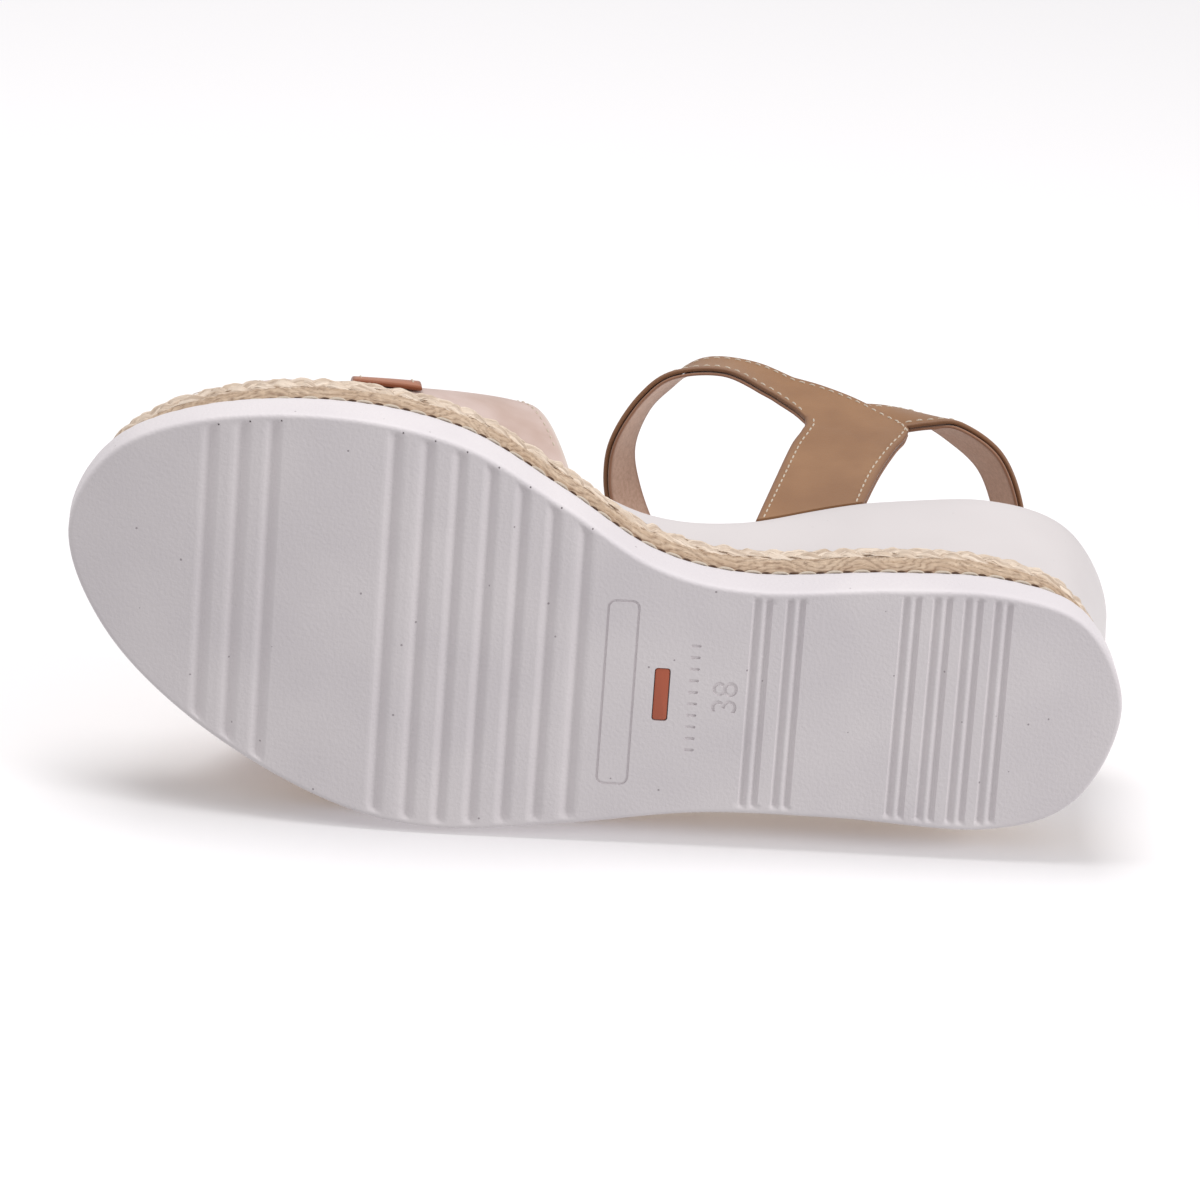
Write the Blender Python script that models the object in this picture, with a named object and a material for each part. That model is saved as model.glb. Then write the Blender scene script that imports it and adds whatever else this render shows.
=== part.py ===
"""Wedge sandal, right foot, size 38: every piece as its own closed solid.

The design is in millimetres and MM turns it into Blender's metres.  +Z is up and z = 0 is the
ground.  The toe points to -X and the heel to +X.  The outer side of the foot is +Y.  The sole is a
stack of slabs that all follow one outline.  The straps are thin shells laid on curved surfaces.
"""
import math

import bmesh
import bpy
import numpy as np
from mathutils import Matrix, Vector

MM = 0.001
GAP = 0.3                       # clearance between neighbouring pieces

# ---- driving dimensions of the sole -------------------------------------------------------
SOLE_LENGTH = 258.0
TOE_SPRING = 14.0               # rise of the tread at the tip of the toe
SPRING_LENGTH = 95.0            # length of tread that curves up
STATIONS = 56                   # cross-sections along each slab
OUTLINE = [(-129, -15), (-119.5, -36.8), (-96.5, -48.5), (-65, -52), (-35.5, -47), (-10, -33),
           (13.5, -18.6), (37.5, -13.8), (71, -16), (98.5, -16), (119, -9), (129, 12),
           (120, 36), (98.5, 45.2), (61, 44.2), (27.5, 44.6), (-5, 49.2), (-37.5, 52),
           (-65, 46), (-96.5, 29.5), (-119, 9)]
FOXING_HEIGHT = [(-129, 11.0), (-90, 13.5), (-45, 15.0), (40, 12.5), (129, 11.0)]
BRAID_HEIGHT = [(-129, 12.0), (-90, 13.5), (-45, 14.0), (129, 13.5)]
FOOTBED_HEIGHT = [(-129, 38.0), (-90, 31.5), (-45, 29.5), (-20, 32.0), (0, 37.0), (14, 41.0),
                  (25, 44.5), (35, 48.0), (53, 56.0), (66, 60.0), (90, 62.5), (129, 63.0)]
FOOTBED_INSET = [(-129, 5.0), (-20, 4.5), (0, 2.0), (16, 0.6), (30, -0.3), (50, -0.8),
                 (80, -1.6), (105, -2.8), (129, -2.0)]
BRAID_INSET = [(-129, 1.6), (-90, 0.7), (-45, 0.6), (129, 1.0)]
BRAID_TUCK = 1.2                # how far the band's rounded edges draw in
BRAID_THICKNESS = 3.0
WEDGE_FRONT = -24.0             # where the wedge grows out of the platform
BOARD, FOAM, SOCK = 1.8, 2.5, 1.2           # thicknesses of the insole layers
UPPER_LEDGE = 3.4               # width of rim that the uppers land on
SHANK_X = (-12.0, 92.0)         # reach of the steel strip in the wedge
SHANK_Y, SHANK_WIDTH, SHANK_THICKNESS = 15.0, 12.0, 1.2

# ---- tread ---------------------------------------------------------------------------------
FOREFOOT_GROOVES = [-51.3 + 7.82 * k for k in range(7)]
TOE_GROOVES = [-95.5, -88.0, -80.5]
HEEL_GROOVES = [39.5, 47.5, 75.5, 83.0, 90.5, 97.8]
FOREFOOT_GROOVE, HEEL_GROOVE = 2.6, 4.6     # widths
GROOVE_DEPTH = 1.2
GROOVE_MARGIN = 3.5             # land left between a groove's end and the edge
INLAY_CENTRE, INLAY_SIZE, INLAY_DEPTH = (16.5, 14.0), (3.6, 13.4), 1.2
CARTOUCHE_CENTRE, CARTOUCHE_SIZE, CARTOUCHE_DEPTH = (6.0, 14.0), (7.0, 46.0), 0.5

# ---- leather and linings ---------------------------------------------------------------------
LEATHER = 1.2
LINING = 0.8
TAPE = 0.4                      # each half of a touch fastener
VAMP_STRAP_X = (-62.0, -45.0)
VAMP_STRAP_THICKNESS = 1.6
SEAM_RADIUS, SEAM_INSET = 0.35, 0.45
FOOT_CENTRE = (30.0, 8.0, 60.0)     # a point inside the foot, which tells out from in


def through(points):
    """Return a smooth function of x that passes through the (x, value) points."""
    xs, values = np.array(points, float).T
    slopes = np.gradient(values, xs)

    def at(x):
        x = np.clip(np.asarray(x, float), xs[0], xs[-1])
        i = np.clip(np.searchsorted(xs, x) - 1, 0, len(xs) - 2)
        width = xs[i + 1] - xs[i]
        t = (x - xs[i]) / width
        return ((2 * t**3 - 3 * t**2 + 1) * values[i] + (t**3 - 2 * t**2 + t) * width * slopes[i]
                + (3 * t**2 - 2 * t**3) * values[i + 1] + (t**3 - t**2) * width * slopes[i + 1])
    return at


foxing_height = through(FOXING_HEIGHT)
braid_height = through(BRAID_HEIGHT)
footbed_z = through(FOOTBED_HEIGHT)
footbed_inset = through(FOOTBED_INSET)
braid_inset = through(BRAID_INSET)


def tread_z(x):
    """Height of the tread: flat, then a parabola up to the toe."""
    beyond = np.maximum(0.0, SPRING_LENGTH - SOLE_LENGTH / 2 - np.asarray(x, float))
    return TOE_SPRING * (beyond / SPRING_LENGTH) ** 2


def foxing_z(x):
    """Top of the outsole's side wall."""
    return tread_z(x) + foxing_height(x)


def braid_z(x):
    """Top of the two braid bands."""
    return foxing_z(x) + braid_height(x)


def deck_z(x):
    """Underside of the insole board: platform top in front, wedge top behind."""
    return np.maximum(footbed_z(x), braid_z(x) + GAP)


def spline(points, count, closed=False):
    """Catmull-Rom curve through the points, resampled at `count` equal steps."""
    p = np.array(points, float)
    if closed:
        p = np.vstack([p[-1], p, p[0], p[1]])
    else:
        p = np.vstack([2 * p[0] - p[1], p, 2 * p[-1] - p[-2]])
    t = np.linspace(0, 1, 24, endpoint=False)[:, None]
    dense = [0.5 * (2 * b + (c - a) * t + (2 * a - 5 * b + 4 * c - d) * t**2
                    + (3 * b - 3 * c + d - a) * t**3)
             for a, b, c, d in zip(p, p[1:], p[2:], p[3:])]
    dense = np.vstack(dense + [p[-2:-1]])
    run = np.concatenate([[0], np.cumsum(np.linalg.norm(np.diff(dense, axis=0), axis=1))])
    where = np.linspace(0, run[-1], count)
    return np.stack([np.interp(where, run, dense[:, k]) for k in range(p.shape[1])], axis=1)


RIM = spline(OUTLINE, 961, closed=True)[:-1]
RIM_OUT = np.roll(RIM, -1, axis=0) - np.roll(RIM, 1, axis=0)
RIM_OUT = np.stack([RIM_OUT[:, 1], -RIM_OUT[:, 0]], axis=1)
RIM_OUT /= np.linalg.norm(RIM_OUT, axis=1)[:, None]


def rim_sides(inset):
    """Medial and lateral halves of the outline, moved inwards by `inset` (a number or f(x))."""
    depth = inset(RIM[:, 0]) if callable(inset) else np.full(len(RIM), float(inset))
    moved = RIM - RIM_OUT * depth[:, None]
    moved = np.roll(moved, -int(np.argmin(moved[:, 0])), axis=0)
    heel = int(np.argmax(moved[:, 0]))
    medial, lateral = moved[:heel + 1], np.vstack([moved[heel:], moved[:1]])[::-1]
    return medial, lateral


def width_at(inset, x):
    """Medial and lateral y of the moved outline at x."""
    medial, lateral = rim_sides(inset)
    return np.interp(x, *medial.T), np.interp(x, *lateral.T)


def station_ring(inset, height, start=None, finish=None):
    """One closed ring of the sole: medial side toe to heel, then lateral side back to the toe."""
    medial, lateral = rim_sides(inset)
    low = medial[0, 0] if start is None else start
    high = medial[-1, 0] if finish is None else finish
    s = (np.arange(STATIONS) + 0.5) / STATIONS
    x = low + (high - low) * (1 - np.cos(math.pi * s)) / 2
    sides = [np.stack([x, np.interp(x, *side.T), height(x)], axis=1) for side in (medial, lateral)]
    return np.vstack([sides[0], sides[1][::-1]])


def rise(height, amount):
    """The height function moved up by `amount`, a number or a function of x."""
    return lambda x: height(x) + (amount(x) if callable(amount) else amount)


def add_object(name, vertices, faces, colour, roughness, metallic=0.0):
    """Make a mesh object in metres with outward faces and its own material."""
    mesh = bpy.data.meshes.new(name)
    mesh.from_pydata([tuple(v) for v in np.asarray(vertices) * MM], [], faces)
    bm = bmesh.new()
    bm.from_mesh(mesh)
    bmesh.ops.recalc_face_normals(bm, faces=bm.faces)
    bm.to_mesh(mesh)
    bm.free()
    mesh.shade_smooth()
    mesh.set_sharp_from_angle(angle=math.radians(35))
    thing = bpy.data.objects.new(name, mesh)
    bpy.context.scene.collection.objects.link(thing)
    material = bpy.data.materials.new(name)
    material.use_nodes = True
    shader = material.node_tree.nodes["Principled BSDF"]
    shader.inputs["Base Color"].default_value = (*colour, 1.0)
    shader.inputs["Roughness"].default_value = roughness
    shader.inputs["Metallic"].default_value = metallic
    mesh.materials.append(material)
    return thing


def bridge(rings, cyclic=False):
    """Quads between equal rings stacked one after another."""
    n = len(rings[0])
    pairs = len(rings) if cyclic else len(rings) - 1
    return [(r * n + i, r * n + (i + 1) % n, (r + 1) % len(rings) * n + (i + 1) % n,
             (r + 1) % len(rings) * n + i) for r in range(pairs) for i in range(n)]


def slab(name, layers, colour, roughness, metallic=0.0, start=None, finish=None):
    """A solid from sole rings, closed above and below by strips across the foot."""
    rings = [station_ring(inset, height, start, finish) for inset, height in layers]
    n = 2 * STATIONS
    faces = bridge(rings)
    for base in (0, (len(rings) - 1) * n):
        faces += [(base + i, base + i + 1, base + n - 2 - i, base + n - 1 - i)
                  for i in range(STATIONS - 1)]
    return add_object(name, np.vstack(rings), faces, colour, roughness, metallic)


def band(name, section, colour, roughness):
    """A closed hoop around the sole; section is a loop of (inset, height) pairs."""
    rings = [station_ring(inset, height) for inset, height in section]
    return add_object(name, np.vstack(rings), bridge(rings, cyclic=True), colour, roughness)


def surface_normals(grid):
    """Unit normals of a (columns, rows, 3) grid of points, on the side away from the foot."""
    normal = np.cross(np.gradient(grid, axis=0), np.gradient(grid, axis=1))
    normal /= np.linalg.norm(normal, axis=2)[..., None]
    facing = np.sum(normal * (grid - FOOT_CENTRE), axis=2).mean()
    return normal * math.copysign(1.0, facing)


def shell(name, grid, inner, outer, colour, roughness):
    """A closed sheet between two offsets of a surface; positive offsets point off the foot."""
    normal = surface_normals(grid)
    columns, rows = grid.shape[:2]
    sheets = [(grid + normal * offset).reshape(-1, 3) for offset in (inner, outer)]
    count = columns * rows
    faces = []
    for i in range(columns - 1):
        for j in range(rows - 1):
            quad = [i * rows + j, (i + 1) * rows + j, (i + 1) * rows + j + 1, i * rows + j + 1]
            faces += [tuple(quad), tuple(count + v for v in reversed(quad))]
    edge = ([i * rows for i in range(columns)]
            + [(columns - 1) * rows + j for j in range(1, rows)]
            + [i * rows + rows - 1 for i in range(columns - 2, -1, -1)]
            + [j for j in range(rows - 2, 0, -1)])
    faces += [(a, b, count + b, count + a) for a, b in zip(edge, edge[1:] + edge[:1])]
    return add_object(name, np.vstack(sheets), faces, colour, roughness)


def patch(lower, upper, columns, rows, start=None, finish=None):
    """Surface between a lower and an upper edge; side edges are straight unless given."""
    low, high = spline(lower, columns), spline(upper, columns)
    v = np.linspace(0, 1, rows)[None, :, None]
    u = np.linspace(0, 1, columns)[:, None, None]
    grid = low[:, None] * (1 - v) + high[:, None] * v
    if start is not None:
        first, last = spline(start, rows)[None], spline(finish, rows)[None]
        corners = ((low[0] * (1 - v) + high[0] * v) * (1 - u) + (low[-1] * (1 - v) + high[-1] * v) * u)
        grid = grid + first * (1 - u) + last * u - corners
    return grid


def box_cutter(name, centre, size, pitch=0.0):
    """A hidden box that a Boolean takes away; pitch tilts it along the sole."""
    mesh = bpy.data.meshes.new(name)
    bm = bmesh.new()
    bmesh.ops.create_cube(bm, size=1.0)
    for v in bm.verts:
        v.co = [c * s * MM for c, s in zip(v.co, size)]
    bm.to_mesh(mesh)
    bm.free()
    cutter = bpy.data.objects.new(name, mesh)
    cutter.location = [c * MM for c in centre]
    cutter.rotation_euler = (0.0, pitch, 0.0)
    cutter.hide_render = True
    cutter.display_type = 'WIRE'
    bpy.context.scene.collection.objects.link(cutter)
    return cutter


def cut(target, cutter):
    """Take the cutter away from the target."""
    modifier = target.modifiers.new("cut_" + cutter.name, 'BOOLEAN')
    modifier.operation = 'DIFFERENCE'
    modifier.solver = 'EXACT'
    modifier.object = cutter


# ---- sole ------------------------------------------------------------------------------------
def make_outsole():
    """Moulded outsole with a bevelled tread edge, transverse grooves and two recesses."""
    layers = [(1.8, tread_z), (0.9, rise(tread_z, 0.35)), (0.25, rise(tread_z, 1.0)),
              (0.0, rise(tread_z, 2.0)), (0.0, rise(foxing_z, -1.0)), (0.5, foxing_z)]
    outsole = slab("outsole", layers, (0.61, 0.57, 0.59), 0.5)
    grooves = [(x, FOREFOOT_GROOVE) for x in TOE_GROOVES + FOREFOOT_GROOVES]
    grooves += [(x, HEEL_GROOVE) for x in HEEL_GROOVES]
    for x, width in grooves:
        medial, lateral = width_at(GROOVE_MARGIN, x)
        slope = (tread_z(x + 0.5) - tread_z(x - 0.5))
        centre = (x, (medial + lateral) / 2, float(tread_z(x)))
        size = (width, lateral - medial, 2 * GROOVE_DEPTH)
        cut(outsole, box_cutter("groove_cutter_%+.0f" % x, centre, size, -math.atan(slope)))
    recess = (INLAY_SIZE[0] + 2 * GAP, INLAY_SIZE[1] + 2 * GAP, 2 * (INLAY_DEPTH + GAP))
    cut(outsole, box_cutter("inlay_cutter", (*INLAY_CENTRE, 0.0), recess))
    plate = (*CARTOUCHE_SIZE, 2 * CARTOUCHE_DEPTH)
    cut(outsole, box_cutter("cartouche_cutter", (*CARTOUCHE_CENTRE, 0.0), plate))


def make_inlay():
    """Coloured plug set flush in the tread."""
    half_x, half_y = INLAY_SIZE[0] / 2, INLAY_SIZE[1] / 2
    radius = 0.8
    ring = []
    for cx, cy, turn in ((1, 1, 0), (-1, 1, 90), (-1, -1, 180), (1, -1, 270)):
        for step in range(5):
            angle = math.radians(turn + step * 22.5)
            ring.append((INLAY_CENTRE[0] + cx * (half_x - radius) + radius * math.cos(angle),
                         INLAY_CENTRE[1] + cy * (half_y - radius) + radius * math.sin(angle)))
    n = len(ring)
    vertices = [(x, y, z) for z in (0.1, INLAY_DEPTH) for x, y in ring]
    faces = bridge([range(n), range(n)]) + [tuple(range(n)), tuple(range(2 * n - 1, n - 1, -1))]
    add_object("sole_inlay", vertices, faces, (0.5, 0.2, 0.1), 0.45)


def make_platform_core():
    """Foam core that the braid is wound around."""
    inner = rise(braid_inset, BRAID_THICKNESS + GAP)
    layers = [(inner, rise(foxing_z, GAP)), (inner, lambda x: front_deck(x) - GAP)]
    slab("platform_core", layers, (0.75, 0.72, 0.68), 0.8)


def front_deck(x):
    """Top of the platform core: the deck in the forefoot, the top of the braid under the wedge."""
    return np.where(np.asarray(x) < WEDGE_FRONT, deck_z(x), braid_z(x) + GAP)


def make_braid(name, from_part, to_part, colour):
    """One tier of the plaited band, between two fractions of the braid height."""
    bottom = rise(foxing_z, lambda x: braid_height(x) * from_part + GAP)
    top = rise(foxing_z, lambda x: braid_height(x) * to_part)
    quarter = lambda x: bottom(x) + 0.22 * (top(x) - bottom(x))
    upper_quarter = lambda x: bottom(x) + 0.78 * (top(x) - bottom(x))
    inner = rise(braid_inset, BRAID_THICKNESS)
    section = [(rise(braid_inset, BRAID_TUCK), bottom), (braid_inset, quarter),
               (braid_inset, upper_quarter), (rise(braid_inset, BRAID_TUCK), top),
               (inner, top), (inner, bottom)]
    band(name, section, colour, 0.85)


def make_seam_thread():
    """Thread of the sole seam, drawn as one cord lying below the ledge under the braid."""
    section = []
    for step in range(6):
        angle = math.radians(60 * step)
        reach, lift = SEAM_RADIUS * math.cos(angle), SEAM_RADIUS * math.sin(angle)
        section.append((SEAM_INSET - reach, rise(foxing_z, SEAM_RADIUS + GAP + lift)))
    band("sole_seam_thread", section, (0.85, 0.78, 0.66), 0.6)


def make_wedge():
    """Wedge block from the waist to the heel, with a slot for the shank."""
    middle = lambda x: 0.5 * (footbed_inset(x) + 1.6)
    mid_z = lambda x: 0.5 * (braid_z(x) + GAP + deck_z(x))
    layers = [(1.6, rise(braid_z, 2 * GAP)), (middle, mid_z),
              (footbed_inset, rise(deck_z, -1.0)), (rise(footbed_inset, 0.6), rise(deck_z, 0.0))]
    wedge = slab("wedge_block", layers, (0.76, 0.72, 0.72), 0.4, start=WEDGE_FRONT)
    slot = shank_solid("shank_slot", 2 * GAP, 3.0)
    slot.hide_render = True
    slot.display_type = 'WIRE'
    cut(wedge, slot)


def shank_solid(name, clearance, extra_height):
    """Flat spring-steel strip that follows the top of the wedge."""
    x = np.linspace(SHANK_X[0] - clearance, SHANK_X[1] + clearance, 24)
    y = SHANK_Y - 0.02 * (x - SHANK_X[0])
    half = SHANK_WIDTH / 2 + clearance
    bottom = deck_z(x) - SHANK_THICKNESS - clearance
    top = deck_z(x) + extra_height
    rings = []
    for i in range(len(x)):
        rings.append([(x[i], y[i] - half, bottom[i]), (x[i], y[i] + half, bottom[i]),
                      (x[i], y[i] + half, top[i]), (x[i], y[i] - half, top[i])])
    last = 4 * (len(x) - 1)
    faces = bridge(rings) + [(0, 1, 2, 3), (last + 3, last + 2, last + 1, last)]
    return add_object(name, np.vstack(rings), faces, (0.5, 0.5, 0.52), 0.3, 1.0)


def make_insole():
    """Board, foam and sock lining, stacked inside the ledge that the uppers land on."""
    inside = rise(footbed_inset, UPPER_LEDGE + 0.6)
    level = rise(deck_z, GAP)
    slab("insole_board", [(inside, level), (inside, rise(level, BOARD))], (0.45, 0.33, 0.22), 0.9)
    level = rise(level, BOARD + GAP)
    slab("footbed_foam", [(inside, level), (inside, rise(level, FOAM))], (0.8, 0.78, 0.7), 0.9)
    level = rise(level, FOAM + GAP)
    layers = [(inside, level), (inside, rise(level, SOCK * 0.6)),
              (rise(inside, 0.6), rise(level, SOCK))]
    slab("sock_lining", layers, (0.42, 0.28, 0.18), 0.6)


# ---- vamp ------------------------------------------------------------------------------------
VAMP_FRONT = through([(0.0, -90.0), (0.25, -84.0), (0.5, -79.0), (0.75, -85.0), (1.0, -97.0)])
VAMP_REAR = through([(0.0, -7.5), (0.2, -18.0), (0.35, -27.0), (0.5, -33.0), (0.65, -31.0),
                     (0.8, -22.0), (1.0, -8.0)])
VAMP_CROWN = through([(-100, 24.0), (-70, 36.0), (-45, 46.0), (-25, 54.0), (0, 58.0)])
VAMP_FULLNESS = 2.6             # exponent of the arch: 2 is an ellipse, more is squarer
MEDIAL_SWELL = through([(-100, 0.03), (-60, 0.05), (-35, 0.12), (-18, 0.24), (0, 0.30)])
LATERAL_SWELL = 0.05            # how far the outer side leans past its base


def vamp_point(x, u):
    """Point of the arch over the foot at station x; u runs 0 to 1 from medial to lateral."""
    medial, lateral = width_at(rise(footbed_inset, 0.9), x)
    turn = np.pi * u
    reach = np.sign(np.cos(turn)) * np.abs(np.cos(turn)) ** (2 / VAMP_FULLNESS)
    lift = np.sin(turn) ** (2 / VAMP_FULLNESS)
    lean = np.where(u < 0.5, MEDIAL_SWELL(x), LATERAL_SWELL)
    swell = 1 + lean * np.sin(turn) * np.abs(np.cos(turn)) * 2
    y = (medial + lateral) / 2 - (lateral - medial) / 2 * reach * swell
    return np.stack([x, y, deck_z(x) + GAP + VAMP_CROWN(x) * lift], axis=-1)


def vamp_grid(columns, rows, u_range=(0.0, 1.0), x_range=None):
    """Surface of the vamp, or the strip of it between two stations."""
    u = np.linspace(*u_range, columns)[:, None] * np.ones((1, rows))
    v = np.linspace(0, 1, rows)[None, :] * np.ones((columns, 1))
    if x_range is None:
        x = VAMP_FRONT(u) * (1 - v) + VAMP_REAR(u) * v
    else:
        x = x_range[0] * (1 - v) + x_range[1] * v
    return vamp_point(x, u)[:, ::-1]


def make_vamp():
    """Vamp leather, its lining and the touch-fastener patch on it."""
    grid = vamp_grid(41, 9)
    shell("vamp_leather", grid, 0.0, LEATHER, (0.62, 0.52, 0.48), 0.5)
    shell("vamp_lining", grid, -GAP - LINING, -GAP, (0.5, 0.33, 0.24), 0.8)
    fastener = vamp_grid(9, 4, (0.1, 0.24), (VAMP_STRAP_X[0] + 1.5, VAMP_STRAP_X[1] - 1.5))
    level = LEATHER + GAP
    shell("vamp_loop_tape", fastener, level, level + TAPE, (0.5, 0.42, 0.35), 0.95)
    level += TAPE + GAP
    shell("vamp_hook_tape", fastener, level, level + TAPE, (0.45, 0.38, 0.32), 0.95)
    level += TAPE + GAP
    strap = vamp_grid(41, 4, (0.05, 0.965), VAMP_STRAP_X)
    shell("vamp_strap", strap, level, level + VAMP_STRAP_THICKNESS, (0.33, 0.14, 0.085), 0.45)


# ---- ankle -----------------------------------------------------------------------------------
MEDIAL_TOP = [(53.0, -25.5, 130), (60, -25.5, 127), (68, -24.5, 121.5), (76, -23, 114),
              (79.8, -22.4, 110), (81.2, -22.1, 106.5)]
LATERAL_TOP = [(53.0, 41.5, 126), (60, 42, 124), (68, 42.5, 120), (76, 43.5, 114), (82, 44.5, 107)]
HEEL_LOWER = [(84.8, -22.3, 104), (94, -22.5, 102), (103.5, -17, 100), (109.5, -5, 99), (112, 10, 98),
              (110, 25, 98.5), (103, 37, 100), (94, 43, 102.5), (84.6, 44.8, 105)]
HEEL_UPPER = [(72.6, -23.3, 121.0), (81, -20.0, 118), (91, -15, 116.5), (99.5, -8.5, 115),
              (106, 1, 113.5), (108.8, 12, 112.5), (106.5, 24, 113.5), (99, 34.5, 115.5),
              (89, 40, 118.5), (77, 41.8, 118.5)]
INSTEP_LOWER = [(52.0, -21.5, 109), (43, -24, 118), (33.5, -26.5, 126), (22, -25, 129.5),
                (13, -20, 129), (7, -9, 127), (6, 0, 126), (8, 10, 124), (15, 22, 121),
                (26, 34.5, 117), (38, 44.5, 113), (52, 50.0, 109), (68, 50.8, 106.5)]
INSTEP_UPPER = [(52.0, -25.5, 129.5), (44, -25, 135.5), (34, -25.5, 139.5), (27, -24, 141),
                (20.5, -20, 141), (15.8, -12, 140), (13.0, -2, 139), (13.6, 8, 137.5),
                (19.8, 20, 135.5), (29.5, 32, 132.5), (40.5, 41.5, 129), (53.5, 47.4, 125),
                (66, 48.2, 121.5)]
INSTEP_HINGE = (52.3, -24.7, 119.2)         # on the outer face, where strap meets quarter
VAMP_STRAP_HINGE = (-54.4, 45.6, 37.9)      # at the strap's lower end on the outer side


def rim_point(x, side):
    """Where an upper lands on the deck at x; side 0 is medial and 1 is lateral."""
    y = width_at(rise(footbed_inset, 0.9), x)[side]
    return (x, float(y), float(deck_z(x)) + GAP)


def make_quarters():
    """Medial and lateral quarters that carry the ankle straps."""
    colour, lining = (0.34, 0.19, 0.10), (0.47, 0.30, 0.22)
    base = [rim_point(x, 0) for x in (40, 49, 58, 67.5)]
    front = [base[0], (44, -16.5, 70), (49, -19.5, 92), (52.6, -21.5, 109), MEDIAL_TOP[0]]
    rear = [base[-1], (72.8, -18.6, 78), (77.6, -20.7, 92), (80.4, -21.6, 100), MEDIAL_TOP[-1]]
    medial = patch(base, MEDIAL_TOP, 13, 13, front, rear)
    shell("medial_quarter", medial, 0.0, LEATHER, colour, 0.45)
    shell("medial_quarter_lining", medial, -GAP - LINING, -GAP, lining, 0.85)
    base = [rim_point(x, 1) for x in (42, 52, 62, 72)]
    front = [base[0], (46, 45, 72), (50, 45.5, 92), (53.0, 45, 108), LATERAL_TOP[0]]
    rear = [base[-1], (76, 45, 80), (80, 45.5, 93), (82, 45.3, 102), LATERAL_TOP[-1]]
    lateral = patch(base, LATERAL_TOP, 13, 13, front, rear)[:, ::-1]
    shell("lateral_quarter", lateral, 0.0, LEATHER, colour, 0.45)
    shell("lateral_quarter_lining", lateral, -GAP - LINING, -GAP, lining, 0.85)
    level = LEATHER + GAP
    shell("ankle_loop_tape", lateral[1:8, 0:4], level, level + TAPE, (0.4, 0.28, 0.2), 0.95)


def make_heel_strap():
    """Strap around the back of the ankle, from one quarter to the other."""
    grid = patch(HEEL_LOWER, HEEL_UPPER, 45, 5)
    shell("heel_strap", grid, 0.0, LEATHER, (0.36, 0.21, 0.12), 0.45)
    shell("heel_strap_lining", grid, -GAP - LINING, -GAP, (0.47, 0.30, 0.22), 0.85)


def make_instep_strap():
    """Strap over the instep; it folds out from the medial quarter to let the foot in."""
    grid = patch(INSTEP_LOWER, INSTEP_UPPER, 57, 5)
    shell("instep_strap", grid, 0.0, LEATHER, (0.4, 0.26, 0.17), 0.45)
    shell("instep_strap_lining", grid, -GAP - LINING, -GAP, (0.47, 0.30, 0.22), 0.85)
    level = -2 * GAP - LINING
    shell("ankle_hook_tape", grid[48:56, 1:4], level - TAPE, level, (0.35, 0.25, 0.18), 0.95)


def overall_centre():
    """Middle of the whole sandal in plan, on the ground."""
    boxes = [np.array(o.bound_box) for o in bpy.data.objects if not o.hide_render]
    low, high = np.min([b.min(axis=0) for b in boxes], axis=0), np.max([b.max(axis=0) for b in boxes], axis=0)
    return Vector(((low[0] + high[0]) / 2, (low[1] + high[1]) / 2, 0.0))


def move_to_origin(shift):
    """Put the middle of the sandal's footprint at the origin."""
    for thing in bpy.data.objects:
        if thing.name.endswith("_cutter") or "_cutter_" in thing.name:
            thing.location -= shift
        else:
            thing.data.transform(Matrix.Translation(-shift))


def hang_on_hinge(name, place, shift, children):
    """Parent the moving pieces to an empty that stands on their joint's axis."""
    hinge = bpy.data.objects.new(name, None)
    hinge.location = Vector(place) * MM - shift
    bpy.context.scene.collection.objects.link(hinge)
    for child in children:
        bpy.data.objects[child].parent = hinge
        bpy.data.objects[child].location = -hinge.location


def clear_scene():
    """Start from an empty scene."""
    for thing in list(bpy.data.objects):
        bpy.data.objects.remove(thing, do_unlink=True)


def main():
    """Build every piece."""
    clear_scene()
    make_outsole()
    make_inlay()
    make_platform_core()
    make_braid("raffia_braid_lower", 0.0, 0.52, (0.52, 0.38, 0.24))
    make_braid("raffia_braid_upper", 0.52, 1.0, (0.64, 0.52, 0.38))
    make_seam_thread()
    make_wedge()
    shank_solid("shank", 0.0, 0.0)
    make_insole()
    make_vamp()
    make_quarters()
    make_heel_strap()
    make_instep_strap()
    shift = overall_centre()
    move_to_origin(shift)
    hang_on_hinge("instep_hinge", INSTEP_HINGE, shift,
                  ["instep_strap", "instep_strap_lining", "ankle_hook_tape"])
    hang_on_hinge("vamp_strap_hinge", VAMP_STRAP_HINGE, shift, ["vamp_strap", "vamp_hook_tape"])


main()
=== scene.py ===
import math

import bmesh
import bpy
import numpy as np
from mathutils import Matrix, Vector


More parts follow.
